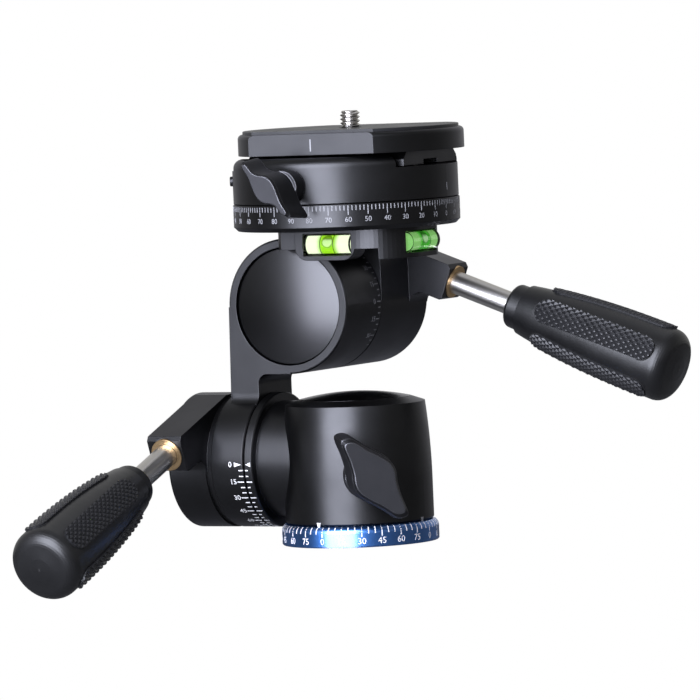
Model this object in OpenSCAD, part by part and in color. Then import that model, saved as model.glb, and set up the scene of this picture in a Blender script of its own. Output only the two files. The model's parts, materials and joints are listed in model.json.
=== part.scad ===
// Four-way tripod head: two pans and two tilts stacked between a tripod and a camera.
// Millimetres, +Z up. The origin is the mouth of the tripod thread, on the pan axis.
// The lower tilt axis runs along X, the upper tilt axis along Y at rest.
// The lower handle points to -Y and down, the upper handle to +X and down.

/* [Axes] */
// Height of the lower tilt axis above the tripod
lower_axis_z = 26.6; // [25.6:0.1:29]
// Rise from the lower tilt axis to the upper one
axis_rise = 50; // [49:0.5:60]
// Distance of the upper tilt axis to the left of the pan axis
axis_side = 18.1; // [17.6:0.1:19]
// Turn of the upper pan against its scale, as in the photograph
top_turn = 2.4; // [-10:0.1:10]

/* [Pan base] */
// Radius of the graduated pan ring
ring_r = 25.3; // [25:0.1:26.2]
// Height of the graduated pan ring
ring_h = 6.8; // [6:0.1:7.1]
// Rounding of the pan ring's upper edge
ring_round = 2.2; // [0.5:0.1:3]
// Radius of the pan housing at its widest
housing_r = 23.9; // [23.2:0.1:24.4]
// Radius of the pan housing at its top rim
housing_top_r = 22.5; // [21.6:0.1:23]
// Height of the pan housing's top rim
housing_top_z = 44.8; // [44:0.1:46]
// Height of the pan housing's sloping shoulder
shoulder_h = 1.6; // [1:0.1:2.4]
// Radius of the domed cap
dome_r = 18; // [16:0.1:19]
// Rise of the domed cap above the shoulder
dome_rise = 2.1; // [1:0.1:2.8]
// Radius of the pan spindle
spindle_r = 8; // [7:0.1:8.4]
// Radius of the spindle's flange in the pan ring
spindle_flange_r = 12; // [11:0.1:14]
// Radius of the tapped hole for the tripod screw, 3/8 in thread
tripod_hole_r = 3.97; // [3.9:0.01:4.2]
// Depth of the tapped hole for the tripod screw
tripod_hole_h = 13; // [10:0.5:16]
// Outer radius of the thread bush
thread_bush_r = 6.2; // [5.6:0.1:6.6]
// Width across the flats of the spindle nut
nut_flats = 17; // [15:0.1:18.5]
// Height of the spindle nut
nut_h = 5.4; // [4:0.1:6]
// Outer radius of the pan friction washer
pan_washer_r = 20; // [16:0.5:21]

/* [Tilt units] */
// Radius of both tilt barrels
barrel_r = 21.85; // [21.4:0.05:22.1]
// Radius of the housing's side boss
boss_r = 19; // [17:0.1:19.4]
// Distance from the pan axis to the thin index ring
index_ring_x = 26.8; // [26.4:0.1:27.4]
// Thickness of the thin index ring
index_ring_t = 3; // [2.6:0.1:3.6]
// Length of the arm's graduated ring along the lower axis
arm_ring_l = 11.9; // [11:0.1:13]
// Length of the clamp housing along the lower axis
clamp_housing_l = 16.2; // [15.6:0.1:17.2]
// Edge rounding of the clamp housing's outer end
clamp_housing_round = 1; // [0.5:0.1:2]
// Radius of both axle journals
journal_r = 6.5; // [5.5:0.1:7]
// Radius of both axle drums
drum_r = 13.4; // [13.1:0.05:13.5]
// Y of the front face of the upper barrel
barrel_front_y = -9.4; // [-10:0.1:-9]
// Y where the fixed part of the upper barrel ends
barrel_split_y = 13.5; // [12.6:0.1:14]
// Y of the rear end of the upper barrel
barrel_rear_y = 45; // [44:0.1:46.4]
// Radius of the satin cap in the barrel's front
front_cap_r = 19.1; // [17:0.1:19.6]
// Depth of the satin cap's face behind the barrel's front
front_cap_sink = 0.8; // [0.3:0.1:1.2]
// Radius of the rear cap that closes the drum's chamber
rear_cap_r = 14; // [13:0.1:16]

/* [Tilt arm] */
// Depth of the arm along Y
arm_depth = 21.4; // [19:0.1:22]
// How far the arm's foot stands out beyond its head on the left
arm_draft = 1; // [0:0.1:1.4]
// Radius of the notch under the barrel
arm_notch_r = 3; // [1:0.1:3.6]
// Radius of the blend between the arm and its ring
arm_blend_r = 4; // [1:0.1:6]

/* [Handles] */
// Angle of both handles below the horizontal
handle_drop = 20.2; // [14:0.1:24]
// Height of the square handle blocks
block_h = 12; // [11.6:0.1:12.4]
// Width of the square handle blocks
block_w = 12.4; // [11.8:0.1:12.6]
// How far the handle blocks' top faces stand out beyond the barrels
block_rise = 0.6; // [0:0.1:1]
// Distance from the clamp housing's outer end to the lower block
lower_block_inset = 2; // [1.4:0.1:2.6]
// Distance from the tilt axis to the blocks' end faces, along the handle
block_reach = 32; // [30:0.5:36]
// Radius of the blend under each block
block_blend_r = 4; // [1:0.1:5]
// Radius of the bronze bushes' flanges
bush_r = 5.4; // [5:0.05:5.5]
// Radius of the bronze bushes behind their flanges
bush_body_r = 4.6; // [4.5:0.05:4.8]
// Length of the bronze bushes
bush_l = 13; // [8:0.5:14]
// Radius of the handle rods
rod_r = 3.75; // [3.4:0.05:4]
// Length of rod that shows between bush and grip
rod_show = 22.5; // [12:0.1:30]
// Length of the grips
grip_l = 62.7; // [58:0.1:78]
// Largest radius of the grips
grip_r = 12; // [10.5:0.1:13]
// Radius of the grips where their body starts
grip_neck_r = 8.3; // [7.8:0.1:9]
// Radius of the small collar at the grips' inner end
grip_collar_r = 7.4; // [6.8:0.1:7.6]
// Length of the small collar
grip_collar_l = 5; // [4:0.1:8]
// Edge rounding of the grips' outer end
grip_end_round = 4.6; // [2:0.1:6]
// Length of the knurled pads
pad_l = 45; // [36:0.5:46]
// Distance from the pads' outer end to the grips' outer end
pad_end_gap = 5.6; // [5.4:0.1:10]
// Width of the knurled pads
pad_w = 8; // [5:0.1:9]
// Height of the knurled pads above the grip
pad_t = 0.9; // [0.6:0.1:1.4]
// Turn of the upper handle's pads about its axis
upper_pad_turn = -19; // [-45:1:45]
// Turn of the lower handle's pads about its axis
lower_pad_turn = 17; // [-45:1:45]

/* [Platform and vials] */
// Z of the platform's underside
platform_z = 95; // [94:0.1:96]
// X of the platform's right side
platform_right = 27.6; // [26.6:0.1:29]
// X of the platform's left side
platform_left = -18; // [-22:0.1:-16]
// Y of the platform's front on the left of the front vial
platform_front = -15.5; // [-16.5:0.1:-14.8]
// Rounding of the platform's right front corner
platform_corner = 15; // [8:0.5:17]
// Y of the platform's rear corner on the right
platform_back = 14; // [12:0.1:16]
// Z of the underside of both vial holders
vial_holder_z = 91.5; // [91:0.1:92.4]
// Length of both vial holders
vial_holder_l = 21.8; // [20.4:0.1:23]
// Radius of the vials
vial_r = 3.5; // [3:0.1:3.7]
// Length of the vials
vial_l = 17.6; // [15:0.1:18.4]
// X of the front vial's middle
front_vial_x = 1.8; // [1:0.1:2]
// Distance of the side vial's axis behind the platform's right side
side_vial_sink = 2.2; // [0.4:0.1:2.8]
// Radius of the bubbles
bubble_r = 1.5; // [1:0.1:1.9]
// Length of the bubbles
bubble_l = 5; // [4:0.1:6]

/* [Scale ring and clamp] */
// How far the upper pan's scale ring stands out beyond the clamp
scale_lip = 0.2; // [0:0.1:0.5]
// Height of the scale ring
scale_h = 8.5; // [8:0.1:9]
// Z of the scale ring's underside
scale_z = 101.5; // [101:0.1:103]
// Chamfer round the scale ring's lower edge
scale_chamfer = 1.3; // [0.5:0.1:2.4]
// Radius of the clamp body
clamp_r = 36.2; // [35.4:0.1:36.4]
// Height of the clamp body
clamp_h = 14.5; // [14:0.1:15.5]
// Rounding of the clamp body's upper edge
clamp_round = 3; // [1:0.1:3.4]
// Depth of the dovetail channel
channel_depth = 4; // [3.8:0.1:4.4]
// Distance from the clamp's centre line to the channel's front wall
channel_front = 21.5; // [20.6:0.1:22.5]
// Length of the moving jaw
jaw_l = 28; // [20:0.5:30]
// Thickness of the moving jaw
jaw_t = 7.3; // [6.5:0.1:7.6]
// Travel of the moving jaw
jaw_travel = 3; // [2.4:0.1:3.2]
// Radius of the clamp stud
jaw_stud_r = 3; // [2.5:0.1:3.4]
// Distance of the clamp knob's axis to the left of the clamp's centre
jaw_knob_side = 1.3; // [0:0.1:4]
// Height of the clamp knob's axis above the clamp's underside
jaw_knob_z = 5.7; // [5.2:0.1:6.4]
// Radius of the release button
button_r = 1.6; // [1.2:0.1:1.9]
// Height of the release button above the clamp's wall
button_proud = 0.9; // [0.6:0.1:1.4]
// Angle of the release button from +X about the upper pan axis
button_turn = 208; // [204:1:212]
// Radius of the stop pins in the channel
stop_pin_r = 1.5; // [1.1:0.1:1.7]
// Distance of the stop pins from the clamp's centre
stop_pin_x = 24.5; // [23.5:0.1:26]

/* [Quick-release plate] */
// Radius of the plate
plate_r = 36.3; // [35:0.1:37.5]
// Thickness of the plate without its rail
plate_t = 6.8; // [6:0.1:8]
// Gap between the clamp's top and the plate
plate_gap = 0.8; // [0.5:0.1:1.4]
// Distance from the plate's centre to its front and rear flats
plate_flat = 28.7; // [27:0.1:30.5]
// How far the plate stands to the right of the clamp's centre
plate_shift = 2.6; // [0:0.1:3]
// Rounding of the plate's upper edge
plate_round = 1.5; // [0.5:0.1:2.4]
// Width of the dovetail rail
rail_w = 38; // [37:0.1:39]
// Length of the dovetail rail
rail_l = 56; // [52:0.5:60]
// Height and run of the dovetail's slope
dovetail = 2.4; // [1.8:0.1:2.6]
// Width of the groove under the rail
groove_w = 9.8; // [8:0.1:11]
// Depth of the groove under the rail
groove_d = 1.5; // [1.2:0.1:1.7]
// Distance of the stop screws from the plate's centre
stop_screw_x = 17; // [14:0.1:18]
// Thickness of the pad on the plate
top_pad_t = 1; // [0.8:0.1:2]
// Distance of the pad's edge from the plate's edge
top_pad_inset = 1.6; // [1.5:0.1:3]
// Radius of the camera screw, 1/4 in thread
camera_screw_r = 3.175; // [3.1:0.005:3.2]
// Height of the camera screw above the pad
camera_screw_h = 5.3; // [4:0.1:6.5]
// Radius of the camera screw's neck under its thread
camera_neck_r = 2.6; // [2.3:0.05:2.8]
// Radius of the camera screw's head
camera_head_r = 7; // [6:0.1:8]

/* [Wing knobs] */
// Height of the pan knob's axis
pan_knob_z = 23.2; // [22.4:0.1:24]
// Angle of the pan knob from -Y towards +X
pan_knob_turn = 36.5; // [34:0.5:44]
// Depth of the pan knob's wings
pan_knob_depth = 13; // [10:0.1:14]
// Depth of the pan knob's round neck
pan_neck_l = 5.7; // [4.6:0.1:7]
// Depth of the clamp knob's wings
jaw_knob_depth = 12; // [9:0.1:13]
// Depth of the clamp knob's round neck
jaw_neck_l = 5.8; // [4.6:0.1:7]
// How much smaller a wing knob is at its face than at its back
wing_taper = 0.92; // [0.88:0.01:0.96]
// Height of the bevel round a wing knob's face
wing_bevel_h = 1.3; // [0.5:0.1:2]
// How much smaller a wing knob's face is than the bevel's foot
wing_bevel = 0.9; // [0.84:0.01:0.96]
// Radius of the pan lock stud
lock_stud_r = 3; // [2.5:0.1:3.4]
// Travel of the pan lock stud in half a turn
lock_travel = 0.5; // [0.3:0.05:0.6]
// Travel of each handle's brake shoe in half a turn
shoe_travel = 0.6; // [0.3:0.05:0.7]

/* [Clearances] */
// Radial clearance of shafts in their bores
run_clear = 0.05; // [0.02:0.01:0.08]
// Gap between faces that turn against each other
face_gap = 0.3; // [0.25:0.05:0.4]
// Clearance of pieces that are fixed in a seat
seat_clear = 0.02; // [0.01:0.01:0.05]

/* [Hidden] */
$fn = 96;
upper_axis_x = -axis_side;
upper_axis_z = lower_axis_z + axis_rise;

// Places along the pan axis
washer_t = 1;
washer_sink = 0.8;
washer_out = 0.5;
housing_z = ring_h + 0.2;
nut_z = 34.6;
nut_washer_t = 1;
spindle_flange_z = 0.4;
spindle_flange_t = 2.6;
shoulder_z = housing_top_z + shoulder_h;
nut_room_r = 13;
cap_plug_h = 2.2;

// Places outwards along the lower tilt axis, measured to the left of the pan axis
index_ring_end = index_ring_x + index_ring_t;
arm_ring_start = index_ring_end + face_gap;
arm_ring_end = arm_ring_start + arm_ring_l;
clamp_housing_end = arm_ring_end + clamp_housing_l;
lower_handle_x = -(clamp_housing_end - lower_block_inset - block_w / 2);
axle_start = spindle_r + 2.3;
drum_gap = 0.1;
drum_end_wall = 1.6;
seam_w = 2.2;
seam_d = 0.7;

// Places along the upper tilt axis
rear_start_y = barrel_split_y + face_gap;
upper_handle_y = barrel_rear_y - block_w / 2 - 0.4;
drum_l = clamp_housing_l - drum_gap - drum_end_wall - 0.1;
upper_drum_end = barrel_rear_y - 2.1;
upper_drum_start = upper_drum_end - drum_l;
rear_cap_t = 1.8;
front_cap_t = 3;
axle_flange_r = 12;
axle_flange_t = 3;
cap_back_y = barrel_front_y + front_cap_sink + front_cap_t;

// Handles, measured from the tilt axis along the handle
handle_side = barrel_r + block_rise - block_h / 2;
shoe_r = 4.05;
shoe_start = -5;
shoe_l = 12;
socket_start = shoe_start - 0.5;
bush_flange_t = 1.5;
bush_proud = 0.3;
grip_start = block_reach + rod_show;
grip_end = grip_start + grip_l;
rod_in_grip = 34;
pad_end = grip_end - pad_end_gap;
pad_start = pad_end - pad_l;
end_dome = 0.8;

// Arm
arm_left = upper_axis_x - barrel_r;
arm_right = -arm_ring_start;
arm_front = barrel_front_y;
arm_back = barrel_front_y + arm_depth;
barrel_bottom_z = upper_axis_z - barrel_r;

// Screws that hold the clamp housing to the arm, measured from the lower tilt axis
housing_screw_out = 17.2;
housing_screw_r = 1.5;
housing_screw_head_r = 2.6;
housing_screw_head_h = 3;
housing_screw_sink = 0.4;

// Screws that hold the scale ring to the tilt head, measured from the scale ring's underside
scale_screw_r = 1.5;
scale_screw_head_r = 2.8;
scale_screw_head_h = 2.6;
scale_screw_head_z = 2;
scale_screw_deep = 5.8;

// Clamp and plate
scale_r = clamp_r + scale_lip;
clamp_z = scale_z + scale_h + face_gap;
clamp_top = clamp_z + clamp_h;
channel_z = clamp_top - channel_depth;
rail_side_gap = 0.15;
plate_z = clamp_top + plate_gap;
plate_top = plate_z + plate_t;
rail_z = channel_z + 0.3;
pad_top = plate_top + top_pad_t;
knob_axis_z = clamp_z + jaw_knob_z;
jaw_inner = rail_w / 2 + rail_side_gap;
jaw_outer = jaw_inner + jaw_t;
jaw_pocket = jaw_outer + jaw_travel + 0.6;
jaw_z = clamp_z + 2.2;
jaw_side_gap = 0.2;
top_spindle_r = 8;
top_flange_r = 14;
top_flange_t = 2.5;
top_flange_z = scale_z + 2;
spindle_top = channel_z - 3.6;
drag_ring_in = 22;
drag_ring_out = 28;
drag_ring_t = 1.2;
stop_head_r = 2;
stop_head_h = 1;
stop_screw_r = 1;
stop_screw_deep = 4;
pin_up = rail_z + 1.1;
button_z = jaw_knob_z + 1.5;
button_l = 5.6;
head_t = 2.8;
knob_gap = 0.5;

// Colours
black = [0.13, 0.13, 0.14];
dark = [0.2, 0.2, 0.22];
face_grey = [0.32, 0.33, 0.36];
ring_blue = [0.12, 0.24, 0.5];
steel = [0.66, 0.66, 0.67];
bronze = [0.72, 0.52, 0.3];
washer_white = [0.85, 0.85, 0.82];
rubber = [0.09, 0.09, 0.1];
vial_clear = [0.8, 0.95, 0.75, 0.5];
fluid_green = [0.55, 0.85, 0.2, 0.8];

// Smooth curves through a few points

function spline(a, b, c, d, t) =
    0.5 * (2 * b + (c - a) * t + (2 * a - 5 * b + 4 * c - d) * t * t + (3 * b - a - 3 * c + d) * t * t * t);

function closed_curve(p, n) = [
    for (i = [0 : len(p) - 1]) for (k = [0 : n - 1])
        spline(p[(i + len(p) - 1) % len(p)], p[i], p[(i + 1) % len(p)], p[(i + 2) % len(p)], k / n)
];

function arc(cx, cy, r, from, to, n) = [
    for (k = [0 : n]) let (a = from + (to - from) * k / n) [cx + r * cos(a), cy + r * sin(a)]
];

// Round bodies along the three axes

module along_x(from, to, r) {
    translate([from, 0, lower_axis_z]) rotate([0, 90, 0]) cylinder(r = r, h = to - from);
}

module along_y(from, to, r) {
    translate([upper_axis_x, from, upper_axis_z]) rotate([-90, 0, 0]) cylinder(r = r, h = to - from);
}

module pipe(r, hole, h) {
    difference() {
        cylinder(r = r, h = h);
        translate([0, 0, -1]) cylinder(r = hole, h = h + 2);
    }
}

// A disc on Z whose upper edge is rounded
module round_top_disc(r, h, edge) {
    rotate_extrude() polygon(concat(
        [[0, 0], [r, 0]],
        arc(r - edge, h - edge, edge, 0, 90, 10),
        [[0, h]]
    ));
}

// A disc on Z with both edges chamfered
module chamfered_disc(r, h, low, high) {
    rotate_extrude() polygon([[0, 0], [r - low, 0], [r, low], [r, h - high], [r - high, h], [0, h]]);
}

// Frames: X runs along the handle, Y along the tilt axis, Z away from the axis

module lower_handle_frame() {
    translate([lower_handle_x, 0, lower_axis_z]) rotate([0, 0, -90]) rotate([0, handle_drop, 0]) children();
}

module upper_handle_frame() {
    translate([upper_axis_x, upper_handle_y, upper_axis_z]) rotate([0, handle_drop, 0]) children();
}

module on_handle(s) {
    translate([s, 0, handle_side]) rotate([0, 90, 0]) children();
}

module on_pan_knob(d) {
    translate([0, 0, pan_knob_z]) rotate([0, 0, pan_knob_turn]) translate([0, -d, 0])
        rotate([90, 0, 0]) children();
}

module on_clamp() {
    translate([0, 0, clamp_z]) rotate([0, 0, top_turn]) children();
}

module on_jaw_knob(d) {
    on_clamp() translate([-jaw_knob_side, -d, jaw_knob_z]) rotate([90, 0, 0]) children();
}

module on_plate() {
    rotate([0, 0, top_turn]) translate([plate_shift, 0, 0]) children();
}

// Pan base

module graduated_pan_ring() {
    color(ring_blue) difference() {
        union() {
            cylinder(r = ring_r - 0.3, h = 1);
            translate([0, 0, 0.3]) round_top_disc(ring_r, ring_h - 0.3, ring_round);
        }
        translate([0, 0, -1])
            cylinder(r = spindle_flange_r + seat_clear, h = 1 + spindle_flange_z + spindle_flange_t);
        cylinder(r = spindle_r + seat_clear, h = ring_h + 1);
        translate([0, 0, ring_h - washer_sink]) cylinder(r = pan_washer_r + seat_clear, h = washer_sink + 1);
    }
}

module tripod_thread_bush() {
    color(steel) difference() {
        union() {
            cylinder(r = thread_bush_r, h = tripod_hole_h + 1.5);
            cylinder(r = thread_bush_r + 2, h = spindle_flange_z);
        }
        translate([0, 0, -1]) cylinder(r = tripod_hole_r, h = tripod_hole_h + 1);
    }
}

module pan_spindle() {
    color(steel) difference() {
        union() {
            translate([0, 0, spindle_flange_z]) cylinder(r = spindle_flange_r, h = spindle_flange_t);
            translate([0, 0, spindle_flange_z]) cylinder(r = spindle_r, h = nut_z - spindle_flange_z);
            translate([0, 0, nut_z - 1]) cylinder(r = spindle_r - 2, h = nut_h + nut_washer_t + 2);
        }
        translate([0, 0, -1]) cylinder(r = thread_bush_r + seat_clear, h = tripod_hole_h + 3);
    }
}

module spindle_nut() {
    color(steel) translate([0, 0, nut_z + nut_washer_t]) difference() {
        cylinder(r = nut_flats / 2 / cos(30), h = nut_h, $fn = 6);
        translate([0, 0, -1]) cylinder(r = spindle_r - 2 + seat_clear, h = nut_h + 2);
    }
}

module spindle_thrust_washer() {
    color(bronze) translate([0, 0, nut_z]) pipe(nut_room_r - 0.6, spindle_r - 2 + 0.2, nut_washer_t);
}

module pan_friction_washer() {
    color(washer_white) translate([0, 0, ring_h - washer_sink])
        pipe(pan_washer_r, spindle_r + 0.4, washer_t - 0.05);
}

// Profile of the housing's outside: a barrel curve up to the rim, then a sloping shoulder
function housing_profile() = let (mid = (housing_z + housing_top_z) / 2, drop = housing_r - housing_top_r)
    concat(
        [[0, housing_z], [housing_r - 0.4, housing_z], [housing_r, housing_z + 0.4]],
        [for (k = [0 : 12]) let (u = k / 12)
            [housing_r - drop * u * u, mid - 6 + (housing_top_z - mid + 6) * u]],
        [[dome_r, shoulder_z], [0, shoulder_z]]
    );

module pan_housing() {
    color(black) difference() {
        union() {
            rotate_extrude() polygon(housing_profile());
            along_x(-index_ring_x - 0.01, -axle_start, boss_r);
            translate([-index_ring_x, 0, lower_axis_z]) rotate([0, -90, 0])
                chamfered_disc(barrel_r, index_ring_t, 0.4, 0.4);
        }
        cylinder(r = spindle_r + run_clear, h = nut_z + 1);
        translate([0, 0, nut_z - 0.1]) cylinder(r = nut_room_r, h = shoulder_z);
        along_x(-index_ring_end - 1, -axle_start, journal_r + seat_clear);
        along_x(-index_ring_end - 1, -index_ring_end + washer_sink, pan_washer_r - 4 + seat_clear);
        on_pan_knob(spindle_r - 1) cylinder(r = lock_stud_r + run_clear, h = housing_r + 2 - spindle_r);
    }
}

module housing_cap() {
    dome_ball_r = (dome_r * dome_r + dome_rise * dome_rise) / (2 * dome_rise);
    color(dark) union() {
        translate([0, 0, shoulder_z - cap_plug_h])
            cylinder(r = nut_room_r - seat_clear, h = cap_plug_h + 0.1);
        translate([0, 0, shoulder_z]) rotate_extrude() polygon(concat(
            [[0, 0]],
            [for (k = [0 : 12]) let (a = asin(dome_r / dome_ball_r) * (1 - k / 12))
                [dome_ball_r * sin(a), dome_ball_r * cos(a) - dome_ball_r + dome_rise]]
        ));
    }
}

module pan_lock_stud() {
    d = spindle_r + 4;
    color(steel) on_pan_knob(d) cylinder(r = lock_stud_r, h = housing_r + pan_neck_l + 7 - d);
}

module pan_brake_shoe() {
    color(bronze) difference() {
        on_pan_knob(spindle_r) cylinder(r = lock_stud_r, h = 4 - seat_clear);
        cylinder(r = spindle_r + run_clear + 0.1, h = 2 * pan_knob_z);
    }
}

// Outline of a wing knob's half at the bevel's foot, from one wing tip to the other.
// The other half is the same, turned by 180 degrees.
pan_wing_half = [
    [-10.2, 11.3], [-9.2, 12.8], [-6.6, 12.7], [-2.5, 9.9], [2.1, 7.3],
    [5.4, 4.9], [6.9, 2], [7.3, -1.8], [8.4, -6.2]
];
jaw_wing_half = [
    [-8.2, 7.9], [-7.7, 8.9], [-6.5, 8.4], [-4.4, 5.9], [-2.2, 4.9],
    [0, 4.6], [2, 3.6], [3.5, 1.7], [4.7, -1], [6.1, -4.6]
];

module wing_outline(half, size) {
    polygon(size * closed_curve(concat(half, [for (p = half) -p]), 4));
}

// A wing knob: neck towards the body, wings that grow smaller to the face, and a bevel round the face
module wing_knob(half, depth, neck, neck_r, bore) {
    difference() {
        union() {
            cylinder(r = neck_r, h = neck + 0.1);
            translate([0, 0, neck]) linear_extrude(height = depth - wing_bevel_h, scale = wing_taper)
                wing_outline(half, 1 / wing_taper);
            translate([0, 0, neck + depth - wing_bevel_h - 0.1])
                linear_extrude(height = wing_bevel_h + 0.1, scale = wing_bevel) wing_outline(half, 0.996);
        }
        translate([0, 0, -1]) cylinder(r = bore, h = neck + 8.5);
    }
}

module pan_wing_knob() {
    color(face_grey) on_pan_knob(housing_r + knob_gap)
        wing_knob(pan_wing_half, pan_knob_depth, pan_neck_l, 8, lock_stud_r + run_clear);
}

// Lower tilt

module lower_tilt_axle() {
    color(steel) difference() {
        union() {
            along_x(-arm_ring_end - drum_gap - 0.1, -axle_start, journal_r);
            along_x(-arm_ring_end - drum_gap - drum_l, -arm_ring_end - drum_gap, drum_r);
        }
        along_x(-arm_ring_end - drum_gap - drum_l - 1, -arm_ring_end - 6, 4, $fn = 6);
    }
}

module lower_friction_washer() {
    color(washer_white) difference() {
        along_x(-index_ring_end - face_gap + 0.05, -index_ring_end + washer_sink, pan_washer_r - 4);
        along_x(-index_ring_end - 1, -index_ring_end + 2, journal_r + 0.3);
    }
}

// Fills the corner between a flat face and a barrel outside it, as drawn in a plane across the barrel.
// The barrel's centre is the origin; the flat lies at x = side, and the blend goes outside it.
// Its arc cuts 0.03 mm into the barrel, so that no edge ends in a sliver of no thickness.
module blend(barrel, side, r) {
    cx = side + r;
    cy = sqrt(pow(barrel + r - 0.03, 2) - cx * cx);
    touch = barrel / (barrel + r);
    difference() {
        polygon([
            [side - 1, cy - r - 3], [side - 1, cy], [side, cy],
            [cx * touch, cy * touch], [cx * touch * 0.9, cy * touch * 0.9]
        ]);
        translate([cx, cy]) circle(r = r);
    }
}

// Outline of the arm seen from the front, with the barrel's circle as its upper end
module arm_outline() {
    difference() {
        union() {
            polygon([
                [arm_left - arm_draft, lower_axis_z], [arm_right, lower_axis_z], [arm_right, barrel_bottom_z],
                [upper_axis_x, barrel_bottom_z], [upper_axis_x, upper_axis_z], [arm_left, upper_axis_z]
            ]);
            translate([arm_right - 0.1, barrel_bottom_z - arm_notch_r])
                square([arm_notch_r + 0.1, arm_notch_r + 1]);
        }
        translate([arm_right + arm_notch_r, barrel_bottom_z - arm_notch_r]) circle(r = arm_notch_r);
    }
}

module tilt_arm() {
    color(black) difference() {
        union() {
            translate([-arm_ring_start, 0, lower_axis_z]) rotate([0, -90, 0])
                chamfered_disc(barrel_r, arm_ring_l, 0.4, 0.2);
            translate([0, arm_back, 0]) rotate([90, 0, 0]) linear_extrude(height = arm_depth) arm_outline();
            translate([upper_axis_x, barrel_front_y, upper_axis_z]) rotate([-90, 0, 0])
                chamfered_disc(barrel_r, barrel_split_y - barrel_front_y, 0.5, 0.3);
            translate([arm_right, 0, lower_axis_z]) rotate([0, -90, 0])
                linear_extrude(height = arm_right - arm_left) arm_blends();
        }
        along_x(-arm_ring_end - 1, -arm_ring_start + 1, journal_r + run_clear);
        along_y(barrel_front_y - 1, cap_back_y, front_cap_r + seat_clear);
        along_y(cap_back_y - 1, cap_back_y + axle_flange_t, axle_flange_r + seat_clear);
        along_y(cap_back_y, barrel_split_y + 1, journal_r + seat_clear);
        along_y(barrel_split_y - washer_sink, barrel_split_y + 1, pan_washer_r - 4 + seat_clear);
        housing_screw_places()
            cylinder(r = housing_screw_r + seat_clear, h = clamp_housing_l + arm_ring_l - 2);
    }
}

// Blends between the arm's front and back and its ring, drawn with X up and Y across
module arm_blends() {
    rotate([0, 0, 90]) mirror([0, 1, 0]) union() {
        blend(barrel_r, arm_back, arm_blend_r);
        mirror([1, 0, 0]) blend(barrel_r, -arm_front, arm_blend_r);
    }
}

module arm_front_cap() {
    color(face_grey) translate([upper_axis_x, cap_back_y, upper_axis_z]) rotate([90, 0, 0])
        chamfered_disc(front_cap_r, front_cap_t, 0.1, 0.5);
}

// The screws that hold the clamp housing to the arm stand clear of the handle's socket
module housing_screw_places() {
    for (a = [-75, 75, 180])
        translate([-clamp_housing_end, 0, lower_axis_z]) rotate([0, 90, 0])
            rotate([0, 0, a + handle_drop]) translate([-housing_screw_out, 0, 0]) children();
}

module clamp_housing_screws() {
    color(steel) housing_screw_places() difference() {
        union() {
            translate([0, 0, housing_screw_sink])
                cylinder(r = housing_screw_head_r, h = housing_screw_head_h);
            translate([0, 0, housing_screw_head_h])
                cylinder(r = housing_screw_r, h = clamp_housing_l + arm_ring_l - 6);
        }
        translate([0, 0, -1]) cylinder(r = housing_screw_r - 0.1, h = housing_screw_head_h, $fn = 6);
    }
}

// Profile of a handle block and the blend under it, with the tilt axis at the origin. The block's top face
// runs back to the level of the barrel's top, where it is cut flat.
module block_outline() {
    top = barrel_r + block_rise;
    low = top - block_h;
    level = barrel_r - 0.3;
    cut_x = (top * cos(handle_drop) - level) / sin(handle_drop);
    polygon([
        [0, low], [block_reach - 0.8, low], [block_reach, low + 0.8],
        [block_reach, top - 1.2], [block_reach - 1.2, top],
        [cut_x, top], [-level * sin(handle_drop), level * cos(handle_drop)]
    ]);
    intersection() {
        rotate([0, 0, -90]) blend(barrel_r, -low, block_blend_r);
        translate([0, -barrel_r]) square(2 * block_reach);
    }
}

module handle_block() {
    translate([0, block_w / 2, 0]) rotate([90, 0, 0]) linear_extrude(height = block_w) block_outline();
}

// Room for the brake shoe, with a seat for the bush at its mouth
module handle_socket() {
    on_handle(socket_start) cylinder(r = shoe_r + run_clear, h = block_reach - bush_l - socket_start + 1);
    on_handle(block_reach - bush_l) cylinder(r = bush_body_r + seat_clear, h = bush_l - 0.5);
    on_handle(block_reach - bush_flange_t) cylinder(r = bush_r + seat_clear, h = bush_flange_t + 1);
}

module lower_clamp_housing() {
    body_l = clamp_housing_l - seam_w;
    color(black) difference() {
        union() {
            translate([-clamp_housing_end + body_l, 0, lower_axis_z]) rotate([0, -90, 0])
                round_top_disc(barrel_r, body_l, clamp_housing_round);
            along_x(-arm_ring_end - seam_w - 0.1, -arm_ring_end, barrel_r - seam_d);
            lower_handle_frame() handle_block();
        }
        along_x(-clamp_housing_end + drum_end_wall - 0.1, -arm_ring_end + 1, drum_r + 0.3);
        lower_handle_frame() handle_socket();
        housing_screw_places() union() {
            translate([0, 0, -1]) cylinder(
                r = housing_screw_head_r + seat_clear, h = 1 + housing_screw_sink + housing_screw_head_h
            );
            cylinder(r = housing_screw_r + seat_clear, h = clamp_housing_l + 1);
        }
    }
}

module handle_bush() {
    color(bronze) on_handle(block_reach - bush_l) difference() {
        union() {
            cylinder(r = bush_body_r, h = bush_l);
            translate([0, 0, bush_l - bush_flange_t]) cylinder(r = bush_r, h = bush_flange_t + bush_proud);
        }
        translate([0, 0, -1]) cylinder(r = rod_r + run_clear, h = bush_l + bush_proud + 2);
    }
}

// The shoe lies beside the drum and is scalloped to it at both ends of its travel
module brake_shoe() {
    color(bronze) difference() {
        on_handle(shoe_start) cylinder(r = shoe_r, h = shoe_l);
        for (shift = [0, -shoe_travel])
            translate([shift, block_w, 0]) rotate([90, 0, 0]) cylinder(r = drum_r + 0.15, h = 2 * block_w);
    }
}

module handle_rod() {
    start = shoe_start + shoe_l + face_gap;
    color(steel) on_handle(start) cylinder(r = rod_r, h = grip_start + rod_in_grip - start);
}

// Outside of a grip, along Z from its inner end: collar, step, swelling body, rounded end with a low dome
function grip_radius(u) = grip_r - (grip_r - grip_neck_r) * pow(1 - u, 2.4);

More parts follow.
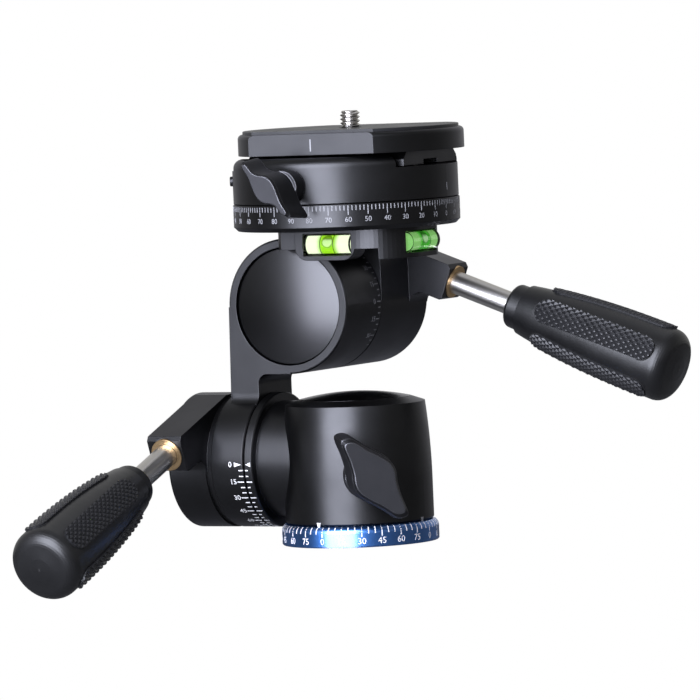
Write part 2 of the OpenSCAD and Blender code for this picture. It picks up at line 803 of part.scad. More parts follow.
function grip_profile(more) = concat(
    [[0, 0], [grip_collar_r - 1.6 + more, 0]],
    arc(grip_collar_r - 1.5 + more, 1.4, 1.4, -80, -10, 4),
    [[grip_collar_r + more, grip_collar_l - 0.4], [grip_collar_r - 0.3 + more, grip_collar_l]],
    [for (k = [0 : 16]) let (u = k / 16)
        [grip_radius(u) + more, grip_collar_l + (grip_l - end_dome - grip_end_round - grip_collar_l) * u]],
    arc(grip_r - grip_end_round + more, grip_l - end_dome - grip_end_round, grip_end_round, 6, 82, 8),
    [[(grip_r - grip_end_round) * 0.5, grip_l - end_dome * 0.25], [0, grip_l]]
);

module handle_grip() {
    color(black) on_handle(grip_start) difference() {
        rotate_extrude() polygon(grip_profile(0));
        translate([0, 0, -1]) cylinder(r = rod_r + seat_clear, h = rod_in_grip + 1.5);
    }
}

module pad_outline() {
    for (x = [pad_w / 2, pad_l - pad_w / 2]) translate([x, 0]) circle(r = pad_w / 2);
    translate([pad_w / 2, -pad_w / 2]) square([pad_l - pad_w, pad_w]);
}

module grip_pads(turn) {
    color(rubber) on_handle(grip_start) for (k = [0 : 3]) rotate([0, 0, turn + 90 * k]) intersection() {
        difference() {
            rotate_extrude() polygon(grip_profile(pad_t));
            rotate_extrude() polygon(grip_profile(seat_clear));
        }
        translate([0, 0, pad_start - grip_start]) rotate([0, -90, 0])
            linear_extrude(height = grip_r + 2 * pad_t) pad_outline();
    }
}

// Upper tilt

module upper_tilt_axle() {
    color(steel) difference() {
        union() {
            along_y(cap_back_y + 0.05, cap_back_y + axle_flange_t, axle_flange_r);
            along_y(cap_back_y + axle_flange_t - 0.1, upper_drum_start + 0.1, journal_r);
            along_y(upper_drum_start, upper_drum_end, drum_r);
        }
        along_y(upper_drum_end - 6, upper_drum_end + 1, 4, $fn = 6);
    }
}

module upper_friction_washer() {
    color(washer_white) difference() {
        along_y(barrel_split_y - washer_sink, barrel_split_y + face_gap - 0.05, pan_washer_r - 4);
        along_y(barrel_split_y - 2, barrel_split_y + 2, journal_r + 0.3);
    }
}

// Seen from above: the platform in front of the rear barrel
module platform_outline() {
    corner = 6;
    polygon(concat(
        [[platform_left, platform_front + 2], [platform_left + 2, platform_front]],
        [[front_holder_x - vial_holder_l / 2, platform_front]],
        [[front_holder_x - vial_holder_l / 2, front_holder_face]],
        arc(platform_right - platform_corner, front_holder_face + platform_corner,
            platform_corner, -90, 0, 16),
        arc(platform_right - corner, platform_back - corner, corner, 0, 90, 8),
        [[platform_left, platform_back]]
    ));
}

// The front vial's holder seen from the front, hanging from the scale ring's underside
module holder_outline() {
    h = scale_z - vial_holder_z;
    corner = 4.5;
    polygon(concat(
        [[vial_holder_l / 2, h]],
        [[-vial_holder_l / 2, h]],
        arc(-vial_holder_l / 2 + corner, corner, corner, 180, 270, 6),
        arc(vial_holder_l / 2 - corner, corner, corner, 270, 360, 6)
    ));
}

front_holder_x = 1;
vial_z = vial_holder_z + 5;
front_vial_y = barrel_front_y - face_gap - 0.9 - vial_r;
front_holder_back = barrel_front_y - face_gap;
front_holder_face = front_vial_y - vial_r * 0.9;
side_vial_x = platform_right - side_vial_sink;
side_holder_left = platform_right - 8;

module on_front_vial() {
    translate([front_vial_x, front_vial_y, vial_z]) rotate([0, 90, 0]) children();
}

module on_side_vial() {
    translate([side_vial_x, 0, vial_z]) rotate([-90, 0, 0]) children();
}

module front_holder() {
    translate([front_holder_x, front_holder_back, vial_holder_z]) rotate([90, 0, 0])
        linear_extrude(height = front_holder_back - front_holder_face) holder_outline();
}

// The side vial's holder is the platform's right end, drawn deeper
module side_holder() {
    translate([0, 0, vial_holder_z]) linear_extrude(height = platform_z - vial_holder_z + 1) intersection() {
        platform_outline();
        translate([side_holder_left, -platform_right])
            square([platform_right, platform_right + vial_holder_l / 2]);
    }
}

module vial_seat() {
    l = vial_l + 2 * seat_clear;
    translate([0, 0, -l / 2]) cylinder(r = vial_r + seat_clear, h = l);
}

module tilt_head_body() {
    saddle_back = barrel_rear_y - 9.4;
    saddle_left = upper_axis_x - 12;
    saddle_l = upper_axis_x + barrel_r - saddle_left;
    color(black) difference() {
        union() {
            translate([upper_axis_x, barrel_rear_y, upper_axis_z]) rotate([90, 0, 0])
                chamfered_disc(barrel_r, barrel_rear_y - rear_start_y, 0.8, 0.3);
            translate([saddle_left, rear_start_y, upper_axis_z])
                cube([saddle_l, saddle_back - rear_start_y, scale_z - upper_axis_z]);
            upper_handle_frame() handle_block();
            difference() {
                union() {
                    translate([0, 0, platform_z])
                        linear_extrude(height = scale_z - platform_z) platform_outline();
                    side_holder();
                }
                along_y(front_holder_back, rear_start_y, barrel_r + face_gap);
            }
            front_holder();
        }
        along_y(rear_start_y - 1, barrel_rear_y, journal_r + run_clear);
        along_y(upper_drum_start - 0.1, barrel_rear_y + 1, drum_r + 0.3);
        along_y(barrel_rear_y - rear_cap_t, barrel_rear_y + 1, rear_cap_r + seat_clear);
        upper_handle_frame() handle_socket();
        on_front_vial() vial_seat();
        on_side_vial() vial_seat();
        translate([front_vial_x - vial_l / 2, front_holder_face - 1, vial_z - vial_r - seat_clear])
            cube([vial_l, front_vial_y - front_holder_face + 1, 2 * vial_r + 2 * seat_clear]);
        translate([side_vial_x, -vial_l / 2, vial_z - vial_r - seat_clear])
            cube([5, vial_l, 2 * vial_r + 2 * seat_clear]);
        scale_screw_places() translate([0, 0, -scale_screw_deep - 0.2])
            cylinder(r = scale_screw_r + seat_clear, h = scale_screw_deep + 1);
    }
}

module rear_cap() {
    color(dark) along_y(barrel_rear_y - rear_cap_t, barrel_rear_y - 0.1, rear_cap_r);
}

module vial_tube() {
    color(vial_clear) difference() {
        translate([0, 0, -vial_l / 2]) cylinder(r = vial_r, h = vial_l);
        translate([0, 0, -vial_l / 2 + 1]) cylinder(r = vial_r - 0.6, h = vial_l - 2);
    }
}

// The fluid fills the tube but for a bubble at its top
module vial_fluid(up) {
    r = vial_r - 0.6 - seat_clear;
    color(fluid_green) difference() {
        translate([0, 0, -vial_l / 2 + 1 + seat_clear]) cylinder(r = r, h = vial_l - 2 - 2 * seat_clear);
        translate([up * (r - bubble_r - 0.1), 0, 0]) {
            translate([0, 0, -bubble_l / 2 + bubble_r]) cylinder(r = bubble_r, h = bubble_l - 2 * bubble_r);
            for (z = [-1, 1]) translate([0, 0, z * (bubble_l / 2 - bubble_r)]) sphere(r = bubble_r);
        }
    }
}

module front_vial() { on_front_vial() vial_tube(); }
module front_vial_fluid() { on_front_vial() vial_fluid(-1); }
module side_vial() { on_side_vial() vial_tube(); }
module side_vial_fluid() { on_side_vial() rotate([0, 0, -90]) vial_fluid(1); }

// Upper pan

module scale_screw_places() {
    for (p = [[18, -8], [18, 9], [-2, 23], [-22, 23]]) translate([p[0], p[1], scale_z]) children();
}

module scale_ring() {
    color(black) difference() {
        translate([0, 0, scale_z]) chamfered_disc(scale_r, scale_h, scale_chamfer, 0.2);
        translate([0, 0, top_flange_z]) cylinder(r = top_flange_r + seat_clear, h = scale_h);
        translate([0, 0, scale_z + scale_h - drag_ring_t + 0.2])
            pipe(drag_ring_out + seat_clear, drag_ring_in - seat_clear, 2);
        scale_screw_places() union() {
            translate([0, 0, -1]) cylinder(r = scale_screw_r + seat_clear, h = scale_h);
            translate([0, 0, scale_screw_head_z]) cylinder(r = scale_screw_head_r + seat_clear, h = scale_h);
        }
    }
}

module scale_ring_screws() {
    color(steel) scale_screw_places() difference() {
        union() {
            translate([0, 0, -scale_screw_deep])
                cylinder(r = scale_screw_r, h = scale_screw_deep + scale_screw_head_z + 0.2);
            translate([0, 0, scale_screw_head_z]) cylinder(r = scale_screw_head_r, h = scale_screw_head_h);
        }
        translate([0, 0, scale_screw_head_z + 1.2]) cylinder(r = scale_screw_r - 0.1, h = 3, $fn = 6);
    }
}

module top_spindle() {
    color(steel) difference() {
        union() {
            translate([0, 0, top_flange_z]) cylinder(r = top_flange_r, h = top_flange_t);
            translate([0, 0, top_flange_z]) cylinder(r = top_spindle_r, h = spindle_top - top_flange_z);
        }
        translate([0, 0, spindle_top - 9]) cylinder(r = 2.5 + seat_clear, h = 10);
    }
}

module top_retaining_washer() {
    color(bronze) translate([0, 0, spindle_top + 0.02]) pipe(top_spindle_r + 2.6, 2.7, 1);
}

module top_retaining_screw() {
    color(steel) translate([0, 0, spindle_top + 1.04]) difference() {
        union() {
            translate([0, 0, -9]) cylinder(r = 2.5, h = 9.5);
            cylinder(r = 4.6, h = 1.8);
        }
        translate([0, 0, 0.6]) cylinder(r = 2, h = 3, $fn = 6);
    }
}

module top_drag_ring() {
    color(washer_white) translate([0, 0, scale_z + scale_h - drag_ring_t + 0.2])
        pipe(drag_ring_out, drag_ring_in, drag_ring_t - 0.2 + face_gap - 0.05);
}

// Dovetail clamp, drawn in its own frame: Z from its underside, X along the channel

module channel_outline(front) {
    h = clamp_h;
    z = clamp_h - channel_depth;
    slope_z = plate_z - clamp_z - dovetail;
    side = rail_w / 2 + rail_side_gap;
    polygon([
        [-front, z], [side, z], [side, slope_z], [side - (h + 1 - slope_z), h + 1], [-front, h + 1]
    ]);
}

module clamp_body() {
    color(black) on_clamp() difference() {
        round_top_disc(clamp_r, clamp_h, clamp_round);
        translate([-clamp_r - 1, 0, 0]) rotate([90, 0, 90]) linear_extrude(height = 2 * clamp_r + 2)
            channel_outline(channel_front);
        translate([0, 0, -1]) cylinder(r = top_spindle_r + run_clear, h = clamp_h);
        translate([0, 0, spindle_top - clamp_z - 0.2]) cylinder(r = top_spindle_r + 3, h = clamp_h);
        translate([-jaw_knob_side - jaw_l / 2 - jaw_side_gap, -jaw_pocket, jaw_z - clamp_z - 0.2])
            cube([jaw_l + 2 * jaw_side_gap, jaw_pocket - jaw_inner, clamp_h]);
        translate([-jaw_knob_side, -jaw_outer + 2, jaw_knob_z]) rotate([90, 0, 0])
            cylinder(r = jaw_stud_r + run_clear, h = clamp_r);
        for (x = [-1, 1]) translate([x * stop_pin_x, 0, 2]) cylinder(r = stop_pin_r + run_clear, h = clamp_h);
        button_hole();
    }
}

// The button's hole lies in the clamp's own frame
module button_hole() {
    rotate([0, 0, button_turn - top_turn]) translate([clamp_r - button_l - 1.4, 0, button_z])
        rotate([0, 90, 0])
        cylinder(r = button_r + run_clear, h = button_l + 3);
}

module release_button() {
    color(dark) on_clamp() rotate([0, 0, button_turn - top_turn]) translate([clamp_r - button_l, 0, button_z])
        rotate([0, 90, 0]) round_top_disc(button_r, button_l + button_proud, 0.4);
}

module fixed_stop_pin() {
    color(steel) on_clamp() translate([stop_pin_x, 0, 2.1])
        cylinder(r = stop_pin_r, h = pin_up - clamp_z - 2.1);
}

module release_pin() {
    color(steel) on_clamp() translate([-stop_pin_x, 0, 4]) cylinder(r = stop_pin_r, h = pin_up - clamp_z - 4);
}

module moving_jaw() {
    z0 = jaw_z - clamp_z;
    slope_z = plate_z - clamp_z - dovetail;
    top = clamp_h - 0.1;
    color(dark) on_clamp() difference() {
        translate([-jaw_knob_side - jaw_l / 2, 0, 0]) rotate([90, 0, 90])
            linear_extrude(height = jaw_l) polygon([
            [-jaw_outer, z0], [-jaw_inner - seat_clear, z0], [-jaw_inner - seat_clear, slope_z],
            [-jaw_inner + (top - slope_z), top], [-jaw_outer, top]
        ]);
        translate([-jaw_knob_side, -jaw_inner - 2, jaw_knob_z]) rotate([90, 0, 0])
            cylinder(r = jaw_stud_r + seat_clear, h = jaw_t);
    }
}

module jaw_stud() {
    d = jaw_inner + 2.1;
    color(steel) on_jaw_knob(d) cylinder(r = jaw_stud_r, h = clamp_r + knob_gap + jaw_neck_l + 6 - d);
}

module clamp_wing_knob() {
    color(face_grey) on_jaw_knob(clamp_r + knob_gap)
        wing_knob(jaw_wing_half, jaw_knob_depth, jaw_neck_l, 5.4, jaw_stud_r + run_clear);
}

// Quick-release plate

module plate_blank(inset) {
    intersection() {
        children();
        translate([-plate_r, -plate_flat + inset, 0])
            cube([2 * plate_r, 2 * (plate_flat - inset), 2 * plate_top]);
    }
}

module quick_release_plate() {
    slope_z = plate_z - dovetail;
    half = rail_w / 2;
    color(black) on_plate() difference() {
        union() {
            plate_blank(0) translate([0, 0, plate_z]) round_top_disc(plate_r, plate_t, plate_round);
            translate([-rail_l / 2, 0, 0]) rotate([90, 0, 90]) linear_extrude(height = rail_l) polygon([
                [-half, rail_z], [half, rail_z], [half, slope_z], [half - dovetail, plate_z],
                [half - dovetail, plate_z + 1], [dovetail - half, plate_z + 1], [dovetail - half, plate_z],
                [-half, slope_z]
            ]);
        }
        translate([-rail_l, -groove_w / 2, rail_z - 1]) cube([2 * rail_l, groove_w, groove_d + 1]);
        translate([0, 0, rail_z - 1]) cylinder(r = camera_screw_r + 0.1, h = 20);
        translate([0, 0, rail_z - 1]) cylinder(r = camera_head_r + 0.2, h = groove_d + head_t + 0.6);
        for (x = [-1, 1]) translate([x * stop_screw_x, 0, rail_z])
            cylinder(r = stop_screw_r + seat_clear, h = stop_screw_deep + 2);
    }
}

module plate_pad() {
    color(rubber) on_plate() plate_blank(top_pad_inset) translate([0, 0, plate_top]) difference() {
        round_top_disc(plate_r - top_pad_inset, top_pad_t, 0.3);
        translate([0, 0, -1]) cylinder(r = camera_screw_r + 0.6, h = top_pad_t + 2);
    }
}

module plate_stop_screws() {
    z = rail_z + groove_d;
    color(steel) on_plate() for (x = [-1, 1]) translate([x * stop_screw_x, 0, z]) {
        translate([0, 0, -stop_head_h]) cylinder(r = stop_head_r, h = stop_head_h);
        translate([0, 0, -0.1]) cylinder(r = stop_screw_r, h = stop_screw_deep);
    }
}

module camera_screw() {
    z = rail_z + groove_d - 0.8;
    color(steel) on_plate() translate([0, 0, z]) difference() {
        union() {
            cylinder(r = camera_head_r, h = head_t);
            cylinder(r = camera_neck_r, h = pad_top + 1 - z);
            translate([0, 0, pad_top + 0.1 - z])
                chamfered_disc(camera_screw_r, camera_screw_h - 0.1, 0.2, 0.5);
        }
        translate([-camera_head_r - 1, -0.7, -1]) cube([2 * camera_head_r + 2, 1.4, 2.2]);
    }
}

// Handles

module lower_handle_bush() { lower_handle_frame() handle_bush(); }
module lower_brake_shoe() { lower_handle_frame() brake_shoe(); }
module lower_handle_rod() { lower_handle_frame() handle_rod(); }
module lower_handle_grip() { lower_handle_frame() handle_grip(); }
module lower_grip_pads() { lower_handle_frame() grip_pads(lower_pad_turn); }
module upper_handle_bush() { upper_handle_frame() handle_bush(); }
module upper_brake_shoe() { upper_handle_frame() brake_shoe(); }
module upper_handle_rod() { upper_handle_frame() handle_rod(); }
module upper_handle_grip() { upper_handle_frame() handle_grip(); }
module upper_grip_pads() { upper_handle_frame() grip_pads(upper_pad_turn); }

graduated_pan_ring();
tripod_thread_bush();
pan_spindle();
spindle_nut();
spindle_thrust_washer();
pan_friction_washer();
pan_housing();
housing_cap();
lower_tilt_axle();
lower_friction_washer();
pan_lock_stud();
pan_brake_shoe();
pan_wing_knob();
tilt_arm();
arm_front_cap();
lower_clamp_housing();
clamp_housing_screws();
lower_handle_bush();
upper_tilt_axle();
upper_friction_washer();
lower_brake_shoe();
lower_handle_rod();
lower_handle_grip();
lower_grip_pads();
tilt_head_body();
rear_cap();
upper_handle_bush();
front_vial();
front_vial_fluid();
side_vial();
side_vial_fluid();
upper_brake_shoe();
upper_handle_rod();
upper_handle_grip();
upper_grip_pads();
scale_ring();
scale_ring_screws();
top_spindle();
top_retaining_washer();
top_retaining_screw();
top_drag_ring();
clamp_body();
fixed_stop_pin();
moving_jaw();
jaw_stud();
clamp_wing_knob();
release_button();
release_pin();
quick_release_plate();
plate_pad();
plate_stop_screws();
camera_screw();
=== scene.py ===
"""Looks of a four-way tripod head, built around its packed model.

The packed solids stay where they are and get their finishes. What the solids leave plain is made
here: the engraved scales, the camera screw's thread, the diamond pattern of the grip pads, the
rings of the level vials, and the stage with its lights and camera. Lengths are in metres.
"""

import json
import math

import bmesh
import bpy
from bpy.props import FloatProperty, FloatVectorProperty, IntProperty, PointerProperty
from bpy.types import Operator, Panel, PropertyGroup
from mathutils import Matrix, Vector
from mathutils.bvhtree import BVHTree


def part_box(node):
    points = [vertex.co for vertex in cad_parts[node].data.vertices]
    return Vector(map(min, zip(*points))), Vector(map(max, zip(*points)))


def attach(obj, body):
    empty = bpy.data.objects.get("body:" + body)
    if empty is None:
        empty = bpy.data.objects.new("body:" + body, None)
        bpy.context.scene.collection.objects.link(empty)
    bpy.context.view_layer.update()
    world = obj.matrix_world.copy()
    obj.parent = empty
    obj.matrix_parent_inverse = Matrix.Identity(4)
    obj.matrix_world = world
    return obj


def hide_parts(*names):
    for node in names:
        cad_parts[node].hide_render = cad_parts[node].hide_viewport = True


bl_info = {
    "name": "Tripod Head",
    "version": (1, 0, 0),
    "blender": (4, 5, 0),
    "location": "View3D > Sidebar > Tripod Head",
    "description": "Dresses the packed four-way tripod head and sets its studio",
    "category": "Object",
}

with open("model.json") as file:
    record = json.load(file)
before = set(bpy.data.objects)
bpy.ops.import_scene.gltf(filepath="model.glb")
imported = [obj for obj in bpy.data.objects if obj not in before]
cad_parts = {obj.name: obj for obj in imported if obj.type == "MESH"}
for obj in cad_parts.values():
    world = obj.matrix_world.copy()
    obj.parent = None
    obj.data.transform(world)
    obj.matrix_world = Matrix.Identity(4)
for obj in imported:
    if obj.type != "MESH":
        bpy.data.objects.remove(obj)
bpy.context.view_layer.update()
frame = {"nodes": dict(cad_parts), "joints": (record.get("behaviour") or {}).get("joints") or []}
mm = 0.001


def srgb(code):
    """An sRGB hex colour as linear red, green and blue."""
    values = [int(code[i : i + 2], 16) / 255 for i in (1, 3, 5)]
    return tuple(v / 12.92 if v <= 0.04045 else ((v + 0.055) / 1.055) ** 2.4 for v in values)


# Places on the head, from its own solids


def middle(node):
    """Centre of a solid's box."""
    low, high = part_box(node)
    return (Vector(low) + Vector(high)) / 2


def joint(name):
    """The joint of that name, as the packed record gives it."""
    return next(j for j in frame["joints"] if j["name"] == name)


def turning_line(name):
    """A joint's axis and a point on it."""
    return joint(name)["axis"], joint(name)["pos_m"]


def reach(node):
    """Half of a round solid's width along X."""
    low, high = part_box(node)
    return (high[0] - low[0]) / 2


def span(node, origin, axis):
    """Where a solid starts and ends along an axis, measured from a point on it."""
    places = [(vertex.co - origin).dot(axis) for vertex in frame["nodes"][node].data.vertices]
    return min(places), max(places)


def surface_of(node):
    """A solid's surface, to cast rays at."""
    data = frame["nodes"][node].data
    return BVHTree.FromPolygons([v.co for v in data.vertices], [p.vertices for p in data.polygons])


UP = Vector((0, 0, 1))
LOWER_AXIS = Vector(joint("lower_tilt")["pos_m"])
UPPER_AXIS = Vector(joint("upper_tilt")["pos_m"])
PLATE_ALONG = Vector(joint("plate_slide")["axis"])

# An axis and a point on it, for what turns about the pans and the tilts.
PAN_LINE = ((0, 0, 1), (0, 0, 0))
LOWER_LINE = ((1, 0, 0), LOWER_AXIS)
UPPER_LINE = ((0, 1, 0), UPPER_AXIS)


# Settings


def colour(name, description, code):
    """A colour, from its sRGB hex value."""
    return FloatVectorProperty(
        name=name, description=description, subtype="COLOR", default=srgb(code), min=0, max=1
    )


def length(name, description, value):
    """A length, from its value in millimetres."""
    return FloatProperty(
        name=name, description=description, unit="LENGTH", default=value * mm, min=0
    )


def angle(name, description, value):
    """An angle, from its value in degrees."""
    return FloatProperty(
        name=name, description=description, subtype="ANGLE", default=math.radians(value)
    )


class FinishSettings(PropertyGroup):
    """Colours of the head's finishes."""

    anodised: colour("Black anodising", "Blasted and anodised bodies", "#3a3a3b")
    turned: colour("Turned black", "Caps and small pieces, anodised after turning", "#3e3e3f")
    knob: colour("Knob black", "Tumbled and anodised wing knobs", "#373739")
    ring: colour("Ring blue", "Anodised ring at the base", "#3c74be")
    steel: colour("Steel", "Turned stainless steel", "#d2cfca")
    bronze: colour("Bronze", "Turned bronze bushes", "#d0b083")
    grip: colour("Grip black", "Moulded grips", "#0d0d0e")
    rubber: colour("Rubber black", "Grip pads and the plate's sheet", "#19191b")
    paint: colour("Filling paint", "Paint in the base's and the lower tilt's scales", "#dcdcdc")
    thin_paint: colour("Thin paint", "Worn paint in the top scale and the plate's line", "#8f8f92")
    # Grey paint is painted shade on the upper tilt's scale, white paint that lies turned from the
    # light. The base's three other pointers take it too.
    bare: colour("Grey paint", "Lines of the upper tilt, left without paint", "#737376")
    # The fluids' colours are also emitted, as their painted glow.
    yellow_fluid: colour("Front vial fluid", "Fluid of the level vial at the front", "#9cd826")
    green_fluid: colour("Side vial fluid", "Fluid of the level vial at the side", "#4fd23a")


class ScaleSettings(PropertyGroup):
    """Sizes of the engraved scales."""

    line: length("Line width", "Width of an engraved line", 0.34)
    relief: length("Relief", "How far the paint stands out of its line", 0.025)
    base_digits: length("Base numbers", "Height of the numbers on the base ring", 2.0)
    tilt_digits: length("Tilt numbers", "Height of the numbers on the tilt barrels", 1.75)
    top_digits: length("Top numbers", "Height of the numbers on the top scale ring", 1.6)


class GripSettings(PropertyGroup):
    """Sizes of the pads in the grips and of their diamond pattern."""

    width: length("Pad width", "Width of a pad, round at both ends", 8)
    diamond: length("Diamond length", "Length of a diamond, along the grip", 2.77)
    row: length("Row distance", "Distance between two rows of diamonds", 0.87)
    depth: length("Diamond depth", "Depth of the grooves between the diamonds", 0.5)
    # The gap is drawn as a strip of painted shade round each pad.
    gap: length("Gap", "Width of the gap between a pad and its pocket", 0.3)
    rise: length("Rise", "How far a pad stands out of the grip", 0.9)
    count: IntProperty(name="Pads", description="Number of pads around a grip", default=5, min=1)
    lower_turn: angle("Lower pads' turn", "Turn of the lower grip's pads about the grip", 18)
    upper_turn: angle("Upper pads' turn", "Turn of the upper grip's pads about the grip", -7)


class ThreadSettings(PropertyGroup):
    """Sizes of the camera screw's thread."""

    pitch: length("Pitch", "Twenty turns to the inch", 1.27)
    depth: length("Depth", "Depth of the thread", 0.72)
    neck: length("Neck", "Radius of the plain neck under the thread", 2.6)
    tip: length("Tip", "Height of the chamfer at the screw's end", 0.7)


class VialSettings(PropertyGroup):
    """The rings printed on the level vials."""

    ring: length("Ring width", "Width of a printed ring", 0.26)
    apart: length("Ring distance", "Distance between the two rings that hold the bubble", 4.8)


# The camera's lens, solved from the ellipses that the head's round pieces make in a picture.
FOCAL_PIXELS = 7040.3
PICTURE_PIXELS = 700
SENSOR_WIDTH = 36.0  # mm


class StudioSettings(PropertyGroup):
    """The studio's camera and lights."""

    azimuth: angle("Azimuth", "Camera's direction around the head", 29.333)
    height: length("Height", "Camera's height over the base", 190.1)
    distance: length("Distance", "Camera's distance along the floor", 2260)
    roll: angle("Roll", "Turn of the camera about its line of sight", 2.494)
    lens: FloatProperty(
        name="Lens", description="Focal length on a 36 mm sensor", unit="CAMERA",
        default=FOCAL_PIXELS / PICTURE_PIXELS * SENSOR_WIDTH,
    )
    aim: FloatVectorProperty(
        name="Aim", description="Point at the picture's centre", subtype="XYZ", unit="LENGTH",
        default=(-0.000752, -0.0005, 0.061739),
    )
    softbox: FloatProperty(
        name="Softbox", description="Power of the large softbox", unit="POWER", default=92.0
    )
    surround: FloatProperty(
        name="Surroundings", description="Brightness of the room around the stage",
        subtype="FACTOR", default=0.25, min=0, max=1,
    )


SETTINGS = {
    "head_finish": FinishSettings,
    "head_scales": ScaleSettings,
    "head_grips": GripSettings,
    "head_thread": ThreadSettings,
    "head_vials": VialSettings,
    "head_studio": StudioSettings,
}


# Materials

# Most of a noise texture's values lie between these two.
NOISE_LOW, NOISE_HIGH = 0.3, 0.7
# A Mix node's colour sockets, which share their names with its other ones.
MIX_UNDER, MIX_OVER, MIX_RESULT = 6, 7, 2
# What the sheen of the metals turns to at a flat angle.
DARK_EDGE = srgb("#ededf1")
BLUE_EDGE = srgb("#bcd3f9")
STEEL_EDGE = srgb("#e7e7e7")
WHITE = (*srgb("#ffffff"), 1.0)
# Refractive indices: the aluminium oxide that anodising grows, plastics, and the vials' fluid.
OXIDE_IOR, PLASTIC_IOR, FLUID_IOR = 1.76, 1.5, 1.36


def add(tree, kind, values=None, **settings):
    """Adds a node to a tree and returns it.

    Settings are the node's own. Values go to its sockets, and one that is an output makes a link.
    """
    node = tree.nodes.new(kind)
    for key, value in settings.items():
        setattr(node, key, value)
    for key, value in (values or {}).items():
        if isinstance(value, bpy.types.NodeSocket):
            tree.links.new(value, node.inputs[key])
        else:
            node.inputs[key].default_value = value
    return node


def material(name):
    """A new material with nothing but its surface and output nodes."""
    made = bpy.data.materials.new(name)
    made.use_nodes = True
    tree = made.node_tree
    tree.nodes.clear()
    surface = add(tree, "ShaderNodeBsdfPrincipled")
    output = add(tree, "ShaderNodeOutputMaterial")
    tree.links.new(surface.outputs["BSDF"], output.inputs["Surface"])
    return made, tree, surface


def rgba(value, gain=1.0):
    """A colour for a socket, made brighter or darker by a gain."""
    return (*(min(1.0, v * gain) for v in value), 1.0)


def mottled(tree, place, value, grain, spread):
    """The colour, a little darker and lighter in patches of a grain's size in millimetres."""
    noise = add(tree, "ShaderNodeTexNoise", {
        "Vector": place, "Scale": 1 / (grain * mm), "Detail": 3.0, "Roughness": 0.6,
    })
    ramp = add(tree, "ShaderNodeValToRGB", {"Fac": noise.outputs["Fac"]})
    dark, light = ramp.color_ramp.elements
    dark.position, dark.color = NOISE_LOW, rgba(value, 1 - spread)
    light.position, light.color = NOISE_HIGH, rgba(value, 1 + spread)
    return ramp.outputs["Color"]


def roughness_patches(tree, place, low, high, size):
    """Roughness that drifts between two values, as handling leaves it, over patches of a size."""
    noise = add(tree, "ShaderNodeTexNoise", {
        "Vector": place, "Scale": 1 / (size * mm), "Detail": 2.0,
    })
    spread = add(tree, "ShaderNodeMapRange", {
        "Value": noise.outputs["Fac"], "From Min": NOISE_LOW, "From Max": NOISE_HIGH,
        "To Min": low, "To Max": high,
    })
    return spread.outputs["Result"]


def soft_edges(tree, radius):
    """Normals that round edges off to a radius, so that they catch light as broken edges do."""
    return add(tree, "ShaderNodeBevel", {"Radius": radius * mm}, samples=6).outputs["Normal"]


def blasted_metal(name, value, rough, edge, gloss=0.0, rounding=0.25, edge_highlight=0.0):
    """Aluminium blasted with fine beads and anodised.

    It is half matt, with a soft broad sheen and a grain that only shows close up. The beads leave
    0.05 mm pits, drawn at 0.3 mm so that they show at all. Gloss is how much the anodic layer
    shines over the metal, as a clear coat does. Rounding is the radius of a broken edge in
    millimetres. Edge highlight is how many times brighter the colour is made at the edges, as a
    painted highlight. Tumbling has polished the edges, so they are smoother too.
    """
    made, tree, surface = material(name)
    place = add(tree, "ShaderNodeTexCoord").outputs["Object"]
    surface.inputs["Metallic"].default_value = 1.0
    surface.inputs["Specular Tint"].default_value = (*edge, 1.0)
    surface.inputs["Coat Weight"].default_value = gloss
    surface.inputs["Coat Roughness"].default_value = 0.2
    surface.inputs["Coat IOR"].default_value = OXIDE_IOR
    drift = 0.03
    tone = mottled(tree, place, value, grain=9.0, spread=0.06)
    patches = roughness_patches(tree, place, rough - drift, rough + drift, size=14.0)
    rounded = soft_edges(tree, rounding)
    if edge_highlight:
        # At an edge, and there alone, the rounded normal departs from the true one. The metal there
        # is smoother too, and its colour is made brighter there as a painted highlight.
        edge_rough = 0.3
        flat = add(tree, "ShaderNodeNewGeometry").outputs["True Normal"]
        alike = add(
            tree, "ShaderNodeVectorMath", {0: rounded, 1: flat}, operation="DOT_PRODUCT"
        ).outputs["Value"]
        on_edge = {"Value": alike, "From Min": 0.99, "From Max": 0.93}
        patches = add(
            tree, "ShaderNodeMapRange", {**on_edge, "To Min": patches, "To Max": edge_rough}
        ).outputs["Result"]
        gain = add(
            tree, "ShaderNodeMapRange", {**on_edge, "To Min": 1.0, "To Max": edge_highlight}
        ).outputs["Result"]
        tone = add(
            tree, "ShaderNodeVectorMath", {0: tone, "Scale": gain}, operation="SCALE"
        ).outputs["Vector"]
    tree.links.new(tone, surface.inputs["Base Color"])
    tree.links.new(patches, surface.inputs["Roughness"])
    pit_width, pit_depth = 0.3 * mm, 0.02 * mm
    pits = add(tree, "ShaderNodeTexNoise", {
        "Vector": place, "Scale": 1 / pit_width, "Detail": 2.0,
    })
    bump = add(tree, "ShaderNodeBump", {
        "Height": pits.outputs["Fac"], "Strength": 0.12, "Distance": pit_depth, "Normal": rounded,
    })
    tree.links.new(bump.outputs["Normal"], surface.inputs["Normal"])
    return made


def distance_along(tree, axis, origin):
    """How far a point lies along an axis, and how far from it."""
    place = add(tree, "ShaderNodeTexCoord").outputs["Object"]
    offset = add(
        tree, "ShaderNodeVectorMath", {0: place, 1: tuple(origin)}, operation="SUBTRACT"
    ).outputs["Vector"]
    along = add(
        tree, "ShaderNodeVectorMath", {0: offset, 1: tuple(axis)}, operation="DOT_PRODUCT"
    ).outputs["Value"]
    across = add(
        tree, "ShaderNodeVectorMath", {0: offset, 1: tuple(axis)}, operation="CROSS_PRODUCT"
    ).outputs["Vector"]
    away = add(tree, "ShaderNodeVectorMath", {0: across}, operation="LENGTH").outputs["Value"]
    return along, away


